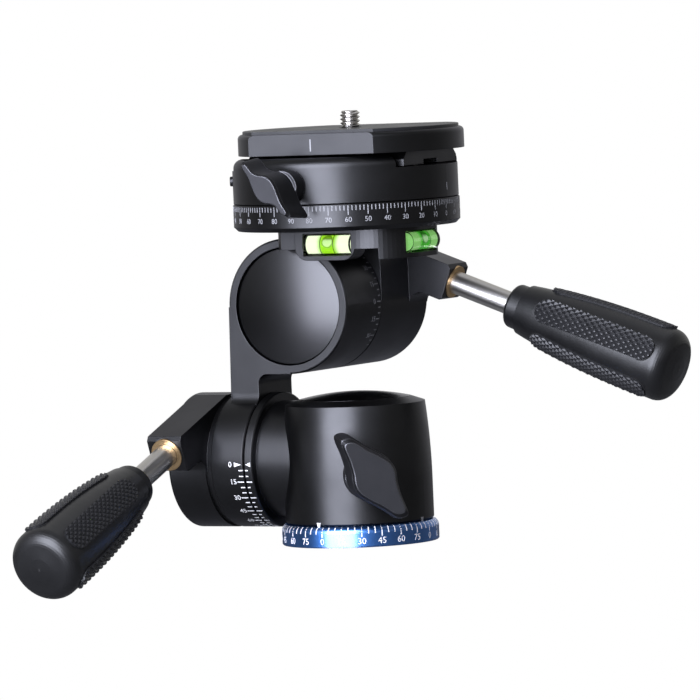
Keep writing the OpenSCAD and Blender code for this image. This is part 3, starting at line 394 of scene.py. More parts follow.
def turned_metal(name, value, rough, line, pitch=0.22, depth=0.006, edge=STEEL_EDGE, dome=0.0):
    """Metal turned on a lathe about a line.

    Fine rings around the line draw a highlight out along the piece. The feed marks are 0.1 mm
    apart and are drawn at about twice that, so that they show. Pitch and depth are theirs, in
    millimetres. Dome is the slope in degrees that a faced disc has 20 mm from its axis, as a
    facing tool under load leaves it.
    """
    made, tree, surface = material(name)
    along, away = distance_along(tree, *line)
    both = add(tree, "ShaderNodeCombineXYZ", {"X": along, "Y": away}).outputs["Vector"]
    rings = add(tree, "ShaderNodeTexNoise", {
        "Vector": both, "Scale": 1 / (pitch * mm), "Detail": 3.0, "Roughness": 0.7,
    }).outputs["Fac"]
    surface.inputs["Metallic"].default_value = 1.0
    surface.inputs["Specular Tint"].default_value = (*edge, 1.0)
    # A deeper mark has painted shade in its groove, a painted highlight on its crest and a less
    # even polish.
    dip, rise, drift = 22 * depth, 14 * depth, 8 * depth
    ramp = add(tree, "ShaderNodeValToRGB", {"Fac": rings})
    groove, crest = ramp.color_ramp.elements
    groove.position, groove.color = 0.35, rgba(value, 1 - dip)
    crest.position, crest.color = 0.7, rgba(value, 1 + rise)
    tree.links.new(ramp.outputs["Color"], surface.inputs["Base Color"])
    spread = add(tree, "ShaderNodeMapRange", {
        "Value": rings, "From Min": NOISE_LOW, "From Max": NOISE_HIGH,
        "To Min": rough - drift, "To Max": rough + drift,
    })
    tree.links.new(spread.outputs["Result"], surface.inputs["Roughness"])
    rounded = soft_edges(tree, radius=0.2)
    if dome:
        square = add(
            tree, "ShaderNodeMath", {0: away, 1: away}, operation="MULTIPLY"
        ).outputs[0]
        measured_at = 20 * mm
        fall = -math.tan(math.radians(dome)) / (2 * measured_at)
        height = add(
            tree, "ShaderNodeMath", {0: square, 1: fall}, operation="MULTIPLY"
        ).outputs[0]
        rounded = add(tree, "ShaderNodeBump", {
            "Height": height, "Strength": 1.0, "Distance": 1.0, "Normal": rounded,
        }).outputs["Normal"]
    bump = add(tree, "ShaderNodeBump", {
        "Height": rings, "Strength": 0.35, "Distance": depth * mm, "Normal": rounded,
    })
    tree.links.new(bump.outputs["Normal"], surface.inputs["Normal"])
    return made


def moulded(name, value, rough, grain, strength, spread=0.06, sheen=0.5):
    """Hard plastic or rubber from a spark-worn mould.

    It has an even colour, a fine matt grain and a weak sheen. The mould's pits are under 0.1 mm
    and are drawn at a grain of a few tenths, in millimetres, so that they show.
    """
    made, tree, surface = material(name)
    place = add(tree, "ShaderNodeTexCoord").outputs["Object"]
    surface.inputs["IOR"].default_value = PLASTIC_IOR
    surface.inputs["Specular IOR Level"].default_value = sheen
    tone = mottled(tree, place, value, grain=6.0, spread=spread)
    patches = roughness_patches(tree, place, rough - 0.04, rough + 0.05, size=10.0)
    tree.links.new(tone, surface.inputs["Base Color"])
    tree.links.new(patches, surface.inputs["Roughness"])
    pits = add(tree, "ShaderNodeTexNoise", {
        "Vector": place, "Scale": 1 / (grain * mm), "Detail": 3.0,
    })
    bump = add(tree, "ShaderNodeBump", {
        "Height": pits.outputs["Fac"], "Strength": strength, "Distance": 0.03 * mm,
    })
    tree.links.new(bump.outputs["Normal"], surface.inputs["Normal"])
    return made


def filling_paint(name, value, rough=0.55):
    """Enamel wiped into an engraved line: slightly uneven, thin where the line's floor is rough."""
    made, tree, surface = material(name)
    place = add(tree, "ShaderNodeTexCoord").outputs["Object"]
    tone = mottled(tree, place, value, grain=0.35, spread=0.12)
    tree.links.new(tone, surface.inputs["Base Color"])
    surface.inputs["Roughness"].default_value = rough
    return made


def vial_acrylic(name):
    """Cast acrylic, polished: clear, with a bright rim where light runs along its wall.

    Its index is 1.49 in air. It is set lower, because the fluid behind it takes away most of what
    its inner wall would bend.
    """
    made, tree, surface = material(name)
    place = add(tree, "ShaderNodeTexCoord").outputs["Object"]
    surface.inputs["IOR"].default_value = 1.2
    surface.inputs["Transmission Weight"].default_value = 1.0
    tone = mottled(tree, place, srgb("#f2ffe6"), grain=3.0, spread=0.02)
    patches = roughness_patches(tree, place, 0.03, 0.07, size=3.0)
    tree.links.new(tone, surface.inputs["Base Color"])
    tree.links.new(patches, surface.inputs["Roughness"])
    return made


def vial_fluid(name, value, painted_end_glare, painted_glow, axis, origin, half):
    """Dyed level fluid, its colour emitted as a painted glow, so that it looks lit though it is no
    lamp.

    Its ends are painted paler, as a painted highlight, and painted glow is how strongly it shines.
    Its bubble is painted paler than the fluid, with a thin wall and upper edge darkened as painted
    shade.
    """
    # Half of the bubble's length, and how high its middle and its top lie over the vial's axis.
    bubble_half, bubble_middle, bubble_top = 2.1 * mm, 0.9 * mm, 2.8 * mm
    made, tree, surface = material(name)
    place = add(tree, "ShaderNodeTexCoord").outputs["Object"]
    offset = add(
        tree, "ShaderNodeVectorMath", {0: place, 1: tuple(origin)}, operation="SUBTRACT"
    ).outputs["Vector"]
    along = add(
        tree, "ShaderNodeVectorMath", {0: offset, 1: tuple(axis)}, operation="DOT_PRODUCT"
    ).outputs["Value"]
    level = add(tree, "ShaderNodeSeparateXYZ", {"Vector": offset}).outputs["Z"]
    far = add(tree, "ShaderNodeMath", {0: along}, operation="ABSOLUTE").outputs[0]

    # The bubble is an ellipse: across and up both reach 1 at its wall.
    across = add(
        tree, "ShaderNodeMath", {0: along, 1: bubble_half}, operation="DIVIDE"
    ).outputs[0]
    up = add(
        tree, "ShaderNodeMapRange",
        {"Value": level, "From Min": bubble_middle, "From Max": bubble_top}, clamp=False,
    ).outputs["Result"]
    both = add(tree, "ShaderNodeCombineXYZ", {"X": across, "Y": up}).outputs["Vector"]
    away = add(tree, "ShaderNodeVectorMath", {0: both}, operation="LENGTH").outputs["Value"]

    # From 0 to 1 between a start and an end: shares of half the vial, then of the bubble's reach.
    ends, bubble, wall, roof = (
        add(
            tree, "ShaderNodeMapRange", {"Value": measure, "From Min": start, "From Max": end},
            interpolation_type="SMOOTHSTEP",
        ).outputs["Result"]
        for measure, start, end in (
            (far, half * 0.24, half * 0.5),
            (away, 1.05, 0.95),
            (away, 0.7, 0.9),
            (up, 0.1, 0.6),
        )
    )
    rim, crown = (
        add(tree, "ShaderNodeMath", {0: bubble, 1: part}, operation="MULTIPLY").outputs[0]
        for part in (wall, roof)
    )
    shade = mottled(tree, place, value, grain=4.0, spread=0.05)
    # Layers of painted light: a painted highlight at the ends, a paler bubble, and painted shade on
    # its wall and top.
    for share, over in (
        (ends, painted_end_glare),
        (bubble, [0.4 + 0.6 * v for v in value]),
        (rim, [0.6 * v for v in value]),
        (crown, [0.35 * v for v in value]),
    ):
        layers = {"Factor": share, MIX_UNDER: shade, MIX_OVER: rgba(over)}
        shade = add(tree, "ShaderNodeMix", layers, data_type="RGBA").outputs[MIX_RESULT]
    # The fluid's own colour is kept dark, so that the painted glow carries it.
    surface.inputs["Base Color"].default_value = rgba(value, 0.1)
    tree.links.new(shade, surface.inputs["Emission Color"])
    surface.inputs["Emission Strength"].default_value = painted_glow
    surface.inputs["Roughness"].default_value = 0.2
    surface.inputs["IOR"].default_value = FLUID_IOR
    return made


def give(nodes, made):
    """Puts a material on packed solids."""
    for node in nodes:
        solid = frame["nodes"][node]
        solid.data.materials.clear()
        solid.data.materials.append(made)


# Mesh helpers

HAIR = 0.02 * mm  # lifts a face clear of the one under it
PLANE = 1e-8  # how near to a cut's plane a corner counts as on it
TOUCHING = 1e-6  # corners nearer to each other than this are one
POINTER_HALF = 0.75 * mm  # half of a pointer's foot
CAPITAL = 0.70  # a digit's height in the typeface, as a share of its size


def piece(name, mesh_data, body, made):
    """Links a mesh as a piece that rides on a body."""
    made_object = bpy.data.objects.new(name, mesh_data)
    bpy.context.scene.collection.objects.link(made_object)
    mesh_data.materials.append(made)
    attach(made_object, body)
    return made_object


def mesh_from(name, points, faces):
    """A mesh from its corners and faces."""
    data = bpy.data.meshes.new(name)
    data.from_pydata([tuple(p) for p in points], [], faces)
    data.validate()
    data.update()
    return data


def upright_wall(radius):
    """Places on an upright round wall: an angle from straight forward, a height and a rise."""

    def place(turn, along, out):
        away = radius + out
        return (away * math.sin(turn), -away * math.cos(turn), along)

    return place


class Engraving:
    """Lines and numbers laid onto a round body.

    Place gives a point from an angle, a distance along the body's axis and a height over its
    surface. Radius turns widths into angles. Relief is how far the lines stand out.
    """

    def __init__(self, place, radius, relief):
        self.place = place
        self.radius = radius
        self.relief = relief
        self.root = -2 * relief  # below the surface, so that a curved wall shows no gap
        self.points = []
        self.faces = []

    def slab(self, outline):
        """A thin raised slab over an outline of (turn, along) corners."""
        first = len(self.points)
        for turn, along in outline:
            self.points.append(self.place(turn, along, self.relief))
            self.points.append(self.place(turn, along, self.root))
        count = len(outline)
        self.faces.append([first + 2 * i for i in range(count)])
        for i in range(count):
            a, b = first + 2 * i, first + 2 * ((i + 1) % count)
            self.faces.append([a, a + 1, b + 1, b])

    def line(self, turn, start, end, width, parts=1):
        """A line along the axis at one angle, in parts where the body bends."""
        half = width / 2 / self.radius
        for k in range(parts):
            a = start + (end - start) * k / parts
            b = start + (end - start) * (k + 1) / parts
            self.slab([(turn - half, a), (turn + half, a), (turn + half, b), (turn - half, b)])

    def pointer(self, turn, tip, foot):
        """A triangle that points along the axis from its foot to its tip."""
        half = math.copysign(POINTER_HALF / self.radius, foot - tip)
        self.slab([(turn, tip), (turn + half, foot), (turn - half, foot)])

    def number(self, text, turn, along, height, upright=True):
        """A number centred at an angle and a distance. Upright numbers stand along the axis."""
        curve = bpy.data.curves.new("number", "FONT")
        curve.body = text
        curve.size = height / CAPITAL
        curve.align_x, curve.align_y = "CENTER", "CENTER"
        curve.resolution_u = 3  # few corners, as a digit is 2 mm high
        curve.extrude = self.relief
        glyph = bpy.data.objects.new("number", curve)
        bpy.context.scene.collection.objects.link(glyph)
        bpy.context.view_layer.update()
        depsgraph = bpy.context.evaluated_depsgraph_get()
        shape = bpy.data.meshes.new_from_object(glyph.evaluated_get(depsgraph))
        first = len(self.points)
        for vertex in shape.vertices:
            x, y, z = vertex.co
            if upright:
                self.points.append(self.place(turn + x / self.radius, along + y, z))
            else:
                self.points.append(self.place(turn - y / self.radius, along + x, z))
        self.faces += [[first + v for v in polygon.vertices] for polygon in shape.polygons]
        bpy.data.meshes.remove(shape)
        bpy.data.objects.remove(glyph)
        bpy.data.curves.remove(curve)

    def mesh(self, name):
        """All lines and numbers as one mesh whose faces look outward."""
        data = mesh_from(name, self.points, self.faces)
        work = bmesh.new()
        work.from_mesh(data)
        bmesh.ops.recalc_face_normals(work, faces=work.faces)
        work.to_mesh(data)
        work.free()
        return data


# Operators


class HEAD_OT_finish(Operator):
    """Give every packed solid its finish"""

    bl_idname = "head.finish"
    bl_label = "Finish the solids"

    def execute(self, context):
        tint = context.scene.head_finish

        # Bodies, bead-blasted and anodised black: half matt with a soft broad sheen.
        anodised = blasted_metal(
            "anodised_aluminium_blasted", tint.anodised, rough=0.36, edge=DARK_EDGE
        )
        give((
            "pan_housing", "tilt_arm", "lower_clamp_housing", "tilt_head_body", "scale_ring",
            "clamp_body", "quick_release_plate",
        ), anodised)

        # Caps, faced on a lathe and anodised: their fine rings gather the light into a fan.
        caps = {"housing_cap": PAN_LINE, "arm_front_cap": UPPER_LINE, "rear_cap": UPPER_LINE}
        for node, line in caps.items():
            give([node], turned_metal(
                "anodised_aluminium_turned_" + node, tint.turned, rough=0.25, line=line,
                pitch=0.3, depth=0.001, edge=DARK_EDGE, dome=11,
            ))

        # Jaw and button, blasted and anodised: a shade lighter than the bodies.
        small = blasted_metal(
            "anodised_aluminium_small_parts", tint.turned, rough=0.36, edge=DARK_EDGE
        )
        give(("moving_jaw", "release_button"), small)

        # Wing knobs, tumbled before anodising: dull faces, and smoother edges that carry a painted
        # highlight.
        knobs = blasted_metal(
            "anodised_aluminium_tumbled_edge_highlight", tint.knob, rough=0.52, edge=DARK_EDGE,
            rounding=0.5, edge_highlight=4.0,
        )
        give(("pan_wing_knob", "clamp_wing_knob"), knobs)

        # Base ring, anodised blue under a thick clear layer that mirrors the softbox as white.
        blue = blasted_metal(
            "anodised_aluminium_blue", tint.ring, rough=0.34, edge=BLUE_EDGE, gloss=1.0
        )
        give(["graduated_pan_ring"], blue)

        # Pins, screws, axles and rods, turned from stainless steel: bright along their length.
        steel_parts = (
            (PAN_LINE, (
                "tripod_thread_bush", "pan_spindle", "spindle_nut", "top_spindle",
                "top_retaining_screw", "scale_ring_screws", "fixed_stop_pin", "release_pin",
                "plate_stop_screws",
            )),
            (LOWER_LINE, ("lower_tilt_axle", "clamp_housing_screws")),
            (UPPER_LINE, ("upper_tilt_axle",)),
            (turning_line("pan_knob_turn"), ("pan_lock_stud",)),
            (turning_line("clamp_knob_turn"), ("jaw_stud",)),
            (turning_line("lower_handle_turn"), ("lower_handle_rod",)),
            (turning_line("upper_handle_turn"), ("upper_handle_rod",)),
        )
        # Bushes, shoes and washers, turned from bronze: warm, with the same lathe marks.
        bronze_parts = (
            (turning_line("lower_handle_turn"), ("lower_handle_bush", "lower_brake_shoe")),
            (turning_line("upper_handle_turn"), ("upper_handle_bush", "upper_brake_shoe")),
            (turning_line("pan_knob_turn"), ("pan_brake_shoe",)),
            (PAN_LINE, ("spindle_thrust_washer", "top_retaining_washer")),
        )
        for metal, value, rough, parts in (
            ("stainless_steel_turned_", tint.steel, 0.32, steel_parts),
            ("bronze_turned_", tint.bronze, 0.33, bronze_parts),
        ):
            for line, nodes in parts:
                for node in nodes:
                    give([node], turned_metal(metal + node, value, rough, line))

        # Washers that the joints slide on, moulded in nylon: off-white and waxy.
        bearing = moulded(
            "nylon_moulded_white", srgb("#dcdcd4"), rough=0.4, grain=0.4, strength=0.1
        )
        give((
            "pan_friction_washer", "lower_friction_washer", "upper_friction_washer",
            "top_drag_ring",
        ), bearing)

        # Grips, moulded in ABS: nearly black, with a broad weak sheen.
        grip = moulded("abs_moulded_black", tint.grip, rough=0.37, grain=0.22, strength=0.2)
        give(("lower_handle_grip", "upper_handle_grip"), grip)

        # The plate's sheet, calendered rubber: greyer and less even than the metal under it.
        rubber = moulded(
            "rubber_calendered_black", tint.rubber, rough=0.45,
            grain=0.3, strength=0.3, spread=0.12, sheen=0.4,
        )
        give(("plate_pad", "lower_grip_pads", "upper_grip_pads"), rubber)

        give(("front_vial", "side_vial"), vial_acrylic("acrylic_cast_clear"))
        # Each fluid glows in its colour as painted light, and is paler at the ends as a painted
        # highlight.
        for vial, value, painted_end_glare, painted_glow, axis in (
            ("front_vial", tint.yellow_fluid, srgb("#fffff3"), 1.15, (1, 0, 0)),
            ("side_vial", tint.green_fluid, srgb("#aaed95"), 0.55, (0, 1, 0)),
        ):
            low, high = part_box(vial)
            half = (Vector(high) - Vector(low)).dot(Vector(axis)) / 2
            name = vial + "_painted_glow_fluid"
            fluid = vial_fluid(name, value, painted_end_glare, painted_glow, axis, middle(vial), half)
            give([vial + "_fluid"], fluid)
        return {"FINISHED"}


class HEAD_OT_base_scale(Operator):
    """Engrave the degree scale on the base ring and the marks over it on the housing"""

    bl_idname = "head.base_scale"
    bl_label = "Engrave the base scale"

    def execute(self, context):
        sizes = context.scene.head_scales
        tint = context.scene.head_finish
        # White enamel filled into the lines: clean and flat on the ring and the front mark.
        paint = filling_paint("enamel_filling_white", tint.paint)
        radius, top = reach("graduated_pan_ring"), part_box("graduated_pan_ring")[1][2]
        rounding = 2.2 * mm
        shoulder = top - rounding

        def on_ring(turn, along, out):
            """The ring's side, and its rounded shoulder from there on."""
            bend = max(0.0, along - shoulder) / rounding
            away = radius - rounding + (rounding + out) * math.cos(bend)
            height = min(along, shoulder) + (rounding + out) * math.sin(bend)
            return (away * math.sin(turn), -away * math.cos(turn), height)

        # A line every 5 degrees, a long one with its number every 15, from 0 again at each 90.
        step_angle, numbered, quarter = 5, 3, 90
        long_foot, short_foot, line_end, digits = 3.5 * mm, 4.5 * mm, 6.9 * mm, 2.0 * mm
        marks = Engraving(on_ring, radius, sizes.relief)
        for step in range(360 // step_angle):
            turn = math.radians(step_angle * step)
            long_one = step % numbered == 0
            foot = long_foot if long_one else short_foot
            marks.line(turn, foot, line_end, sizes.line, parts=4)
            if long_one:
                text = str(step_angle * step % quarter)
                marks.number(text, turn, digits, sizes.base_digits)
        piece("base_scale", marks.mesh("base_scale"), "base", paint)

        # One pointer a quarter on the housing, the front one white and the other three a darker
        # grey.
        low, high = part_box("pan_housing")
        wall = upright_wall(high[0])
        tip = low[2] + 0.7 * mm
        pointer_height, off_centre = 2.6 * mm, -4.4
        index = Engraving(wall, high[0], sizes.relief)
        others = Engraving(wall, high[0], sizes.relief)
        for side in range(4):
            turn = math.radians(quarter * side + off_centre)
            marked = others if side else index
            marked.pointer(turn, tip, tip + pointer_height)
        # The other three pointers take the same darker grey paint as the upper tilt's scale.
        bare = filling_paint("paint_grey_marks", tint.bare)
        for name, marks, made in (
            ("base_index_mark", index, paint),
            ("base_other_marks", others, bare),
        ):
            piece(name, marks.mesh(name), "pan_body", made)
        return {"FINISHED"}


class HEAD_OT_tilt_scales(Operator):
    """Engrave the degree scales of the two tilt barrels"""

    bl_idname = "head.tilt_scales"
    bl_label = "Engrave the tilt scales"

    def execute(self, context):
        sizes = context.scene.head_scales
        tint = context.scene.head_finish
        # The same white enamel as on the base ring.
        paint = filling_paint("enamel_filling_barrels", tint.paint)
        barrel_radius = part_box("tilt_arm")[1][0] - UPPER_AXIS.x
        digits = sizes.tilt_digits

        # A line every 5 degrees and a long one with its number every 15. Lines start at the seam
        # between the two halves of a barrel, and the arm's half carries the numbers.
        step_angle, numbered = 5, 3
        lower_seam, upper_seam = -29.95 * mm, 13.5 * mm  # along X, along Y
        # Distances from the seam: where lines start, where short and long ones end.
        arm_start, arm_short, arm_long = 0.35 * mm, 1.9 * mm, 2.8 * mm
        fixed_start, fixed_short, fixed_long = 0.6 * mm, 1.6 * mm, 2.7 * mm
        front_start, front_short, front_long = 0.5 * mm, 1.9 * mm, 2.7 * mm

        def on_lower(turn, along, out):
            """Angle from straight forward, going down, at a distance along the lower axis."""
            away = barrel_radius + out
            return (along, -away * math.cos(turn), LOWER_AXIS.z - away * math.sin(turn))

        arm = Engraving(on_lower, barrel_radius, sizes.relief)
        fixed = Engraving(on_lower, barrel_radius, sizes.relief)
        for step in range(1, 19):
            turn = math.radians(step_angle * step)
            long_one = step % numbered == 0
            arm_end = lower_seam - (arm_long if long_one else arm_short)
            fixed_end = lower_seam + (fixed_long if long_one else fixed_short)
            arm.line(turn, arm_end, lower_seam - arm_start, sizes.line)
            fixed.line(turn, lower_seam + fixed_start, fixed_end, sizes.line)
            if long_one:
                text = str(step_angle * step)
                arm.number(text, turn, lower_seam - 4.3 * mm, digits, upright=False)
        # The pointer takes the place of a line at 0, so that number stands farther off.
        arm.number("0", 0, lower_seam - 4.9 * mm, digits, upright=False)
        arm.pointer(0, lower_seam - 0.8 * mm, lower_seam - 3.4 * mm)
        fixed.pointer(0, lower_seam + 0.7 * mm, lower_seam + 2.6 * mm)
        for name, marks, body in (
            ("lower_tilt_scale", arm, "arm"),
            ("lower_tilt_index", fixed, "pan_body"),
        ):
            piece(name, marks.mesh(name), body, paint)

        def on_upper(turn, along, out):
            """Angle from straight right, going down, at a distance along the upper axis."""
            away = barrel_radius + out
            return (
                UPPER_AXIS.x + away * math.cos(turn), along, UPPER_AXIS.z - away * math.sin(turn)
            )

        front = Engraving(on_upper, barrel_radius, sizes.relief)
        for step in range(-8, 9):
            turn = math.radians(step_angle * step)
            long_one = step % numbered == 0
            end = upper_seam - (front_long if long_one else front_short)
            front.line(turn, end, upper_seam - front_start, sizes.line)
            if long_one:
                text = str(abs(step_angle * step))
                front.number(text, turn, upper_seam - 4.4 * mm, digits, upright=False)
        # Grey paint: white paint that lies turned from the light, darkened as painted shade. Hardly
        # lighter than the barrel around it.
        bare = filling_paint("paint_grey_painted_shade", tint.bare)
        piece("upper_tilt_scale", front.mesh("upper_tilt_scale"), "arm", bare)
        return {"FINISHED"}


class HEAD_OT_top_scale(Operator):
    """Engrave the top scale ring, the clamp's mark and the plate's lines"""

    bl_idname = "head.top_scale"
    bl_label = "Engrave the top scale"

    def execute(self, context):
        sizes = context.scene.head_scales
        # Thin enamel, worn by fingers on the ring: a light grey rather than white.
        paint = filling_paint("enamel_filling_worn", context.scene.head_finish.thin_paint)
        radius = reach("scale_ring")
        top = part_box("scale_ring")[1][2]

        # A line every 2 degrees and a long one with its number every 10. The numbers run down
        # from 90 to 0 and up again on each half of the ring.
        step_angle, numbered, half_turn, quarter = 2, 5, 180, 90
        # Depths under the ring's top: where lines start, where they end, and the numbers' middle.
        line_start, short_end, long_end, digits = 0.45 * mm, 2.0 * mm, 3.4 * mm, 4.95 * mm
        fine_line = sizes.line * 0.8
        marks = Engraving(upright_wall(radius), radius, sizes.relief)
        for step in range(360 // step_angle):
            turn = math.radians(step_angle * step)
            tens = step % numbered == 0
            end = long_end if tens else short_end
            marks.line(turn, top - end, top - line_start, fine_line)
            if tens:
                text = str(abs(quarter - step_angle * step % half_turn))
                marks.number(text, turn, top - digits, sizes.top_digits)
        piece("top_scale", marks.mesh("top_scale"), "tilt_head", paint)

        clamp_radius = reach("clamp_body")
        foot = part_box("clamp_body")[0][2]
        mark = Engraving(upright_wall(clamp_radius), clamp_radius, sizes.relief)
        heading = math.atan2(PLATE_ALONG.x, -PLATE_ALONG.y)
        mark_foot, mark_end = 2.2 * mm, 4.6 * mm
        mark.line(heading, foot + mark_foot, foot + mark_end, sizes.line)
        piece("clamp_mark", mark.mesh("clamp_mark"), "clamp", paint)

        across = UP.cross(PLATE_ALONG)
        centre = middle("camera_screw")
        plate_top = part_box("quick_release_plate")[1][2]
        face = span("quick_release_plate", centre, across)[1]

        def on_flat(side):
            """Places on one of the plate's two long flat sides."""

            def place(turn, along, out):
                spot = PLATE_ALONG * turn - across * side * (face + out)
                return (centre.x + spot.x, centre.y + spot.y, along)

            return place

        # A flat has no angles, so its radius of 1 leaves widths as they are.
        line_foot, line_end, broad_line = 5.6 * mm, 1.7 * mm, sizes.line * 1.2
        for side, name in ((1, "plate_line_front"), (-1, "plate_line_back")):
            line = Engraving(on_flat(side), 1.0, sizes.relief)
            line.line(0, plate_top - line_foot, plate_top - line_end, broad_line)
            piece(name, line.mesh(name), "plate", paint)
        return {"FINISHED"}


class HEAD_OT_grip_pads(Operator):
    """Cut the diamond pattern into the grips' rubber pads"""

    bl_idname = "head.grip_pads"
    bl_label = "Cut the grip pads"

    def outline(self, low, high, half):
        """Corners of a strip round at both ends, counter-clockwise, one every 15 degrees."""
        turns = [math.radians(-90 + 15 * n) for n in range(13)]
        right = [(high - half + half * math.cos(a), half * math.sin(a)) for a in turns]
        left = [(low + half - half * math.cos(a), -half * math.sin(a)) for a in turns]
        return right + left

    def flat_pad(self, sizes, low, high):
        """A pad before it is bent round the grip: x along the grip, y across, z from its face."""
        flat_share = 0.3  # how far a diamond's flat top draws back from its foot
        root = -1.3 * mm  # the pad's underside, below the grip's surface
        work = bmesh.new()
        corners = {}

        def corner(i, j):
            if (i, j) not in corners:
                place = (low + i * sizes.diamond / 2, j * sizes.row, -sizes.depth)
                corners[i, j] = work.verts.new(place)
            return corners[i, j]

        # A few more than the pad holds, since its outline cuts them off.
        columns = int(2 * (high - low) / sizes.diamond) + 3
        rows = int(sizes.width / 2 / sizes.row) + 2
        for i in range(-1, columns):
            for j in range(-rows, rows + 1):
                if (i + j) % 2:
                    continue
                foot = [corner(i - 1, j), corner(i, j - 1), corner(i + 1, j), corner(i, j + 1)]
                centre = sum((v.co for v in foot), Vector()) / 4
                lift = UP * sizes.depth
                top = [work.verts.new(centre.lerp(v.co, flat_share) + lift) for v in foot]
                work.faces.new(top)
                for k in range(4):
                    after = (k + 1) % 4
                    work.faces.new((foot[k], foot[after], top[after], top[k]))
        edge = self.outline(low, high, sizes.width / 2 - 2 * HAIR)
        for (x, y), (next_x, next_y) in zip(edge, edge[1:] + edge[:1]):
            if math.hypot(next_x - x, next_y - y) < TOUCHING:
                continue
            bmesh.ops.bisect_plane(
                work, geom=[*work.verts, *work.edges, *work.faces], dist=PLANE,
                plane_co=(x, y, 0), plane_no=(next_y - y, x - next_x, 0), clear_outer=True,
            )
        border = [e for e in work.edges if e.is_boundary]
        walls = bmesh.ops.extrude_edge_only(work, edges=border)["geom"]
        for vertex in (v for v in walls if isinstance(v, bmesh.types.BMVert)):
            vertex.co.z = root
        bmesh.ops.holes_fill(work, edges=[e for e in work.edges if e.is_boundary], sides=0)
        return work

    def execute(self, context):
        sizes = context.scene.head_grips
        tint = context.scene.head_finish
        # Moulded rubber, glossier than the sheet: each diamond's slopes catch a little light.
        rubber = moulded(
            "rubber_moulded_black", tint.rubber, rough=0.36,
            grain=0.3, strength=0.2, spread=0.12,
        )
        # A near-black strip laid round each pad: painted shade for the gap between the pad and its
        # pocket.
        painted_gap_shade = moulded(
            "painted_shade_pad_gap", srgb("#070707"), rough=0.8, grain=0.3, strength=0.2
        )
        clear_of_grip = 30 * mm  # where rays towards the grip start, off its axis
        for handle, turn in (("lower", sizes.lower_turn), ("upper", sizes.upper_turn)):
            name, grip = handle + "_grip_pads", handle + "_handle_grip"
            axis, origin = (Vector(value) for value in turning_line(handle + "_handle_turn"))
            axis.normalize()
            up = (UP - axis * axis.z).normalized()
            side = up.cross(axis)
            low, high = span(name, origin, axis)
            surface = surface_of(grip)
            points, faces, shade_points, shade_faces = [], [], [], []

            def bent(facing, along, across, out):
                """A point of the flat pattern, laid on the grip and lifted off it."""
                aside = facing.cross(axis) * across
                start = origin + axis * along + aside + facing * clear_of_grip
                hit = surface.ray_cast(start, -facing)[0]
                if hit is None:
                    spot = f"{along / mm:.2f}, {across / mm:.2f} mm"
                    raise RuntimeError(f"{name}: nothing under {spot}")
                spoke = hit - origin - axis * (hit - origin).dot(axis)
                return hit + spoke.normalized() * out

            for pad in range(sizes.count):
                around = turn + math.tau * pad / sizes.count
                facing = up * math.cos(around) - side * math.sin(around)
                work = self.flat_pad(sizes, low + 2 * HAIR, high - 2 * HAIR)
                first = len(points)
                work.verts.index_update()
                points += [bent(facing, v.co.x, v.co.y, v.co.z + sizes.rise) for v in work.verts]
                faces += [[first + v.index for v in face.verts] for face in work.faces]
                work.free()
                # Round each pad, a strip just over the grip: painted shade in its pocket's gap.
                half, gap = sizes.width / 2, sizes.gap
                inner = self.outline(low, high, half + HAIR)
                outer = self.outline(low - gap, high + gap, half + gap)
                first = len(shade_points)
                for (ax, ay), (bx, by) in zip(inner, outer):
                    shade_points.append(bent(facing, ax, ay, HAIR))
                    shade_points.append(bent(facing, bx, by, HAIR))
                count = len(inner)
                for k in range(count):
                    a, b = first + 2 * k, first + 2 * ((k + 1) % count)
                    shade_faces.append([a, a + 1, b + 1, b])
            body = handle + "_handle"
            pads = mesh_from(name, points, faces)
            made = piece(handle + "_diamond_pads", pads, body, rubber)
            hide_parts(name)
            shade_strip = mesh_from(handle + "_pockets", shade_points, shade_faces)
            piece(handle + "_pad_pockets", shade_strip, body, painted_gap_shade)
        return {"FINISHED"}


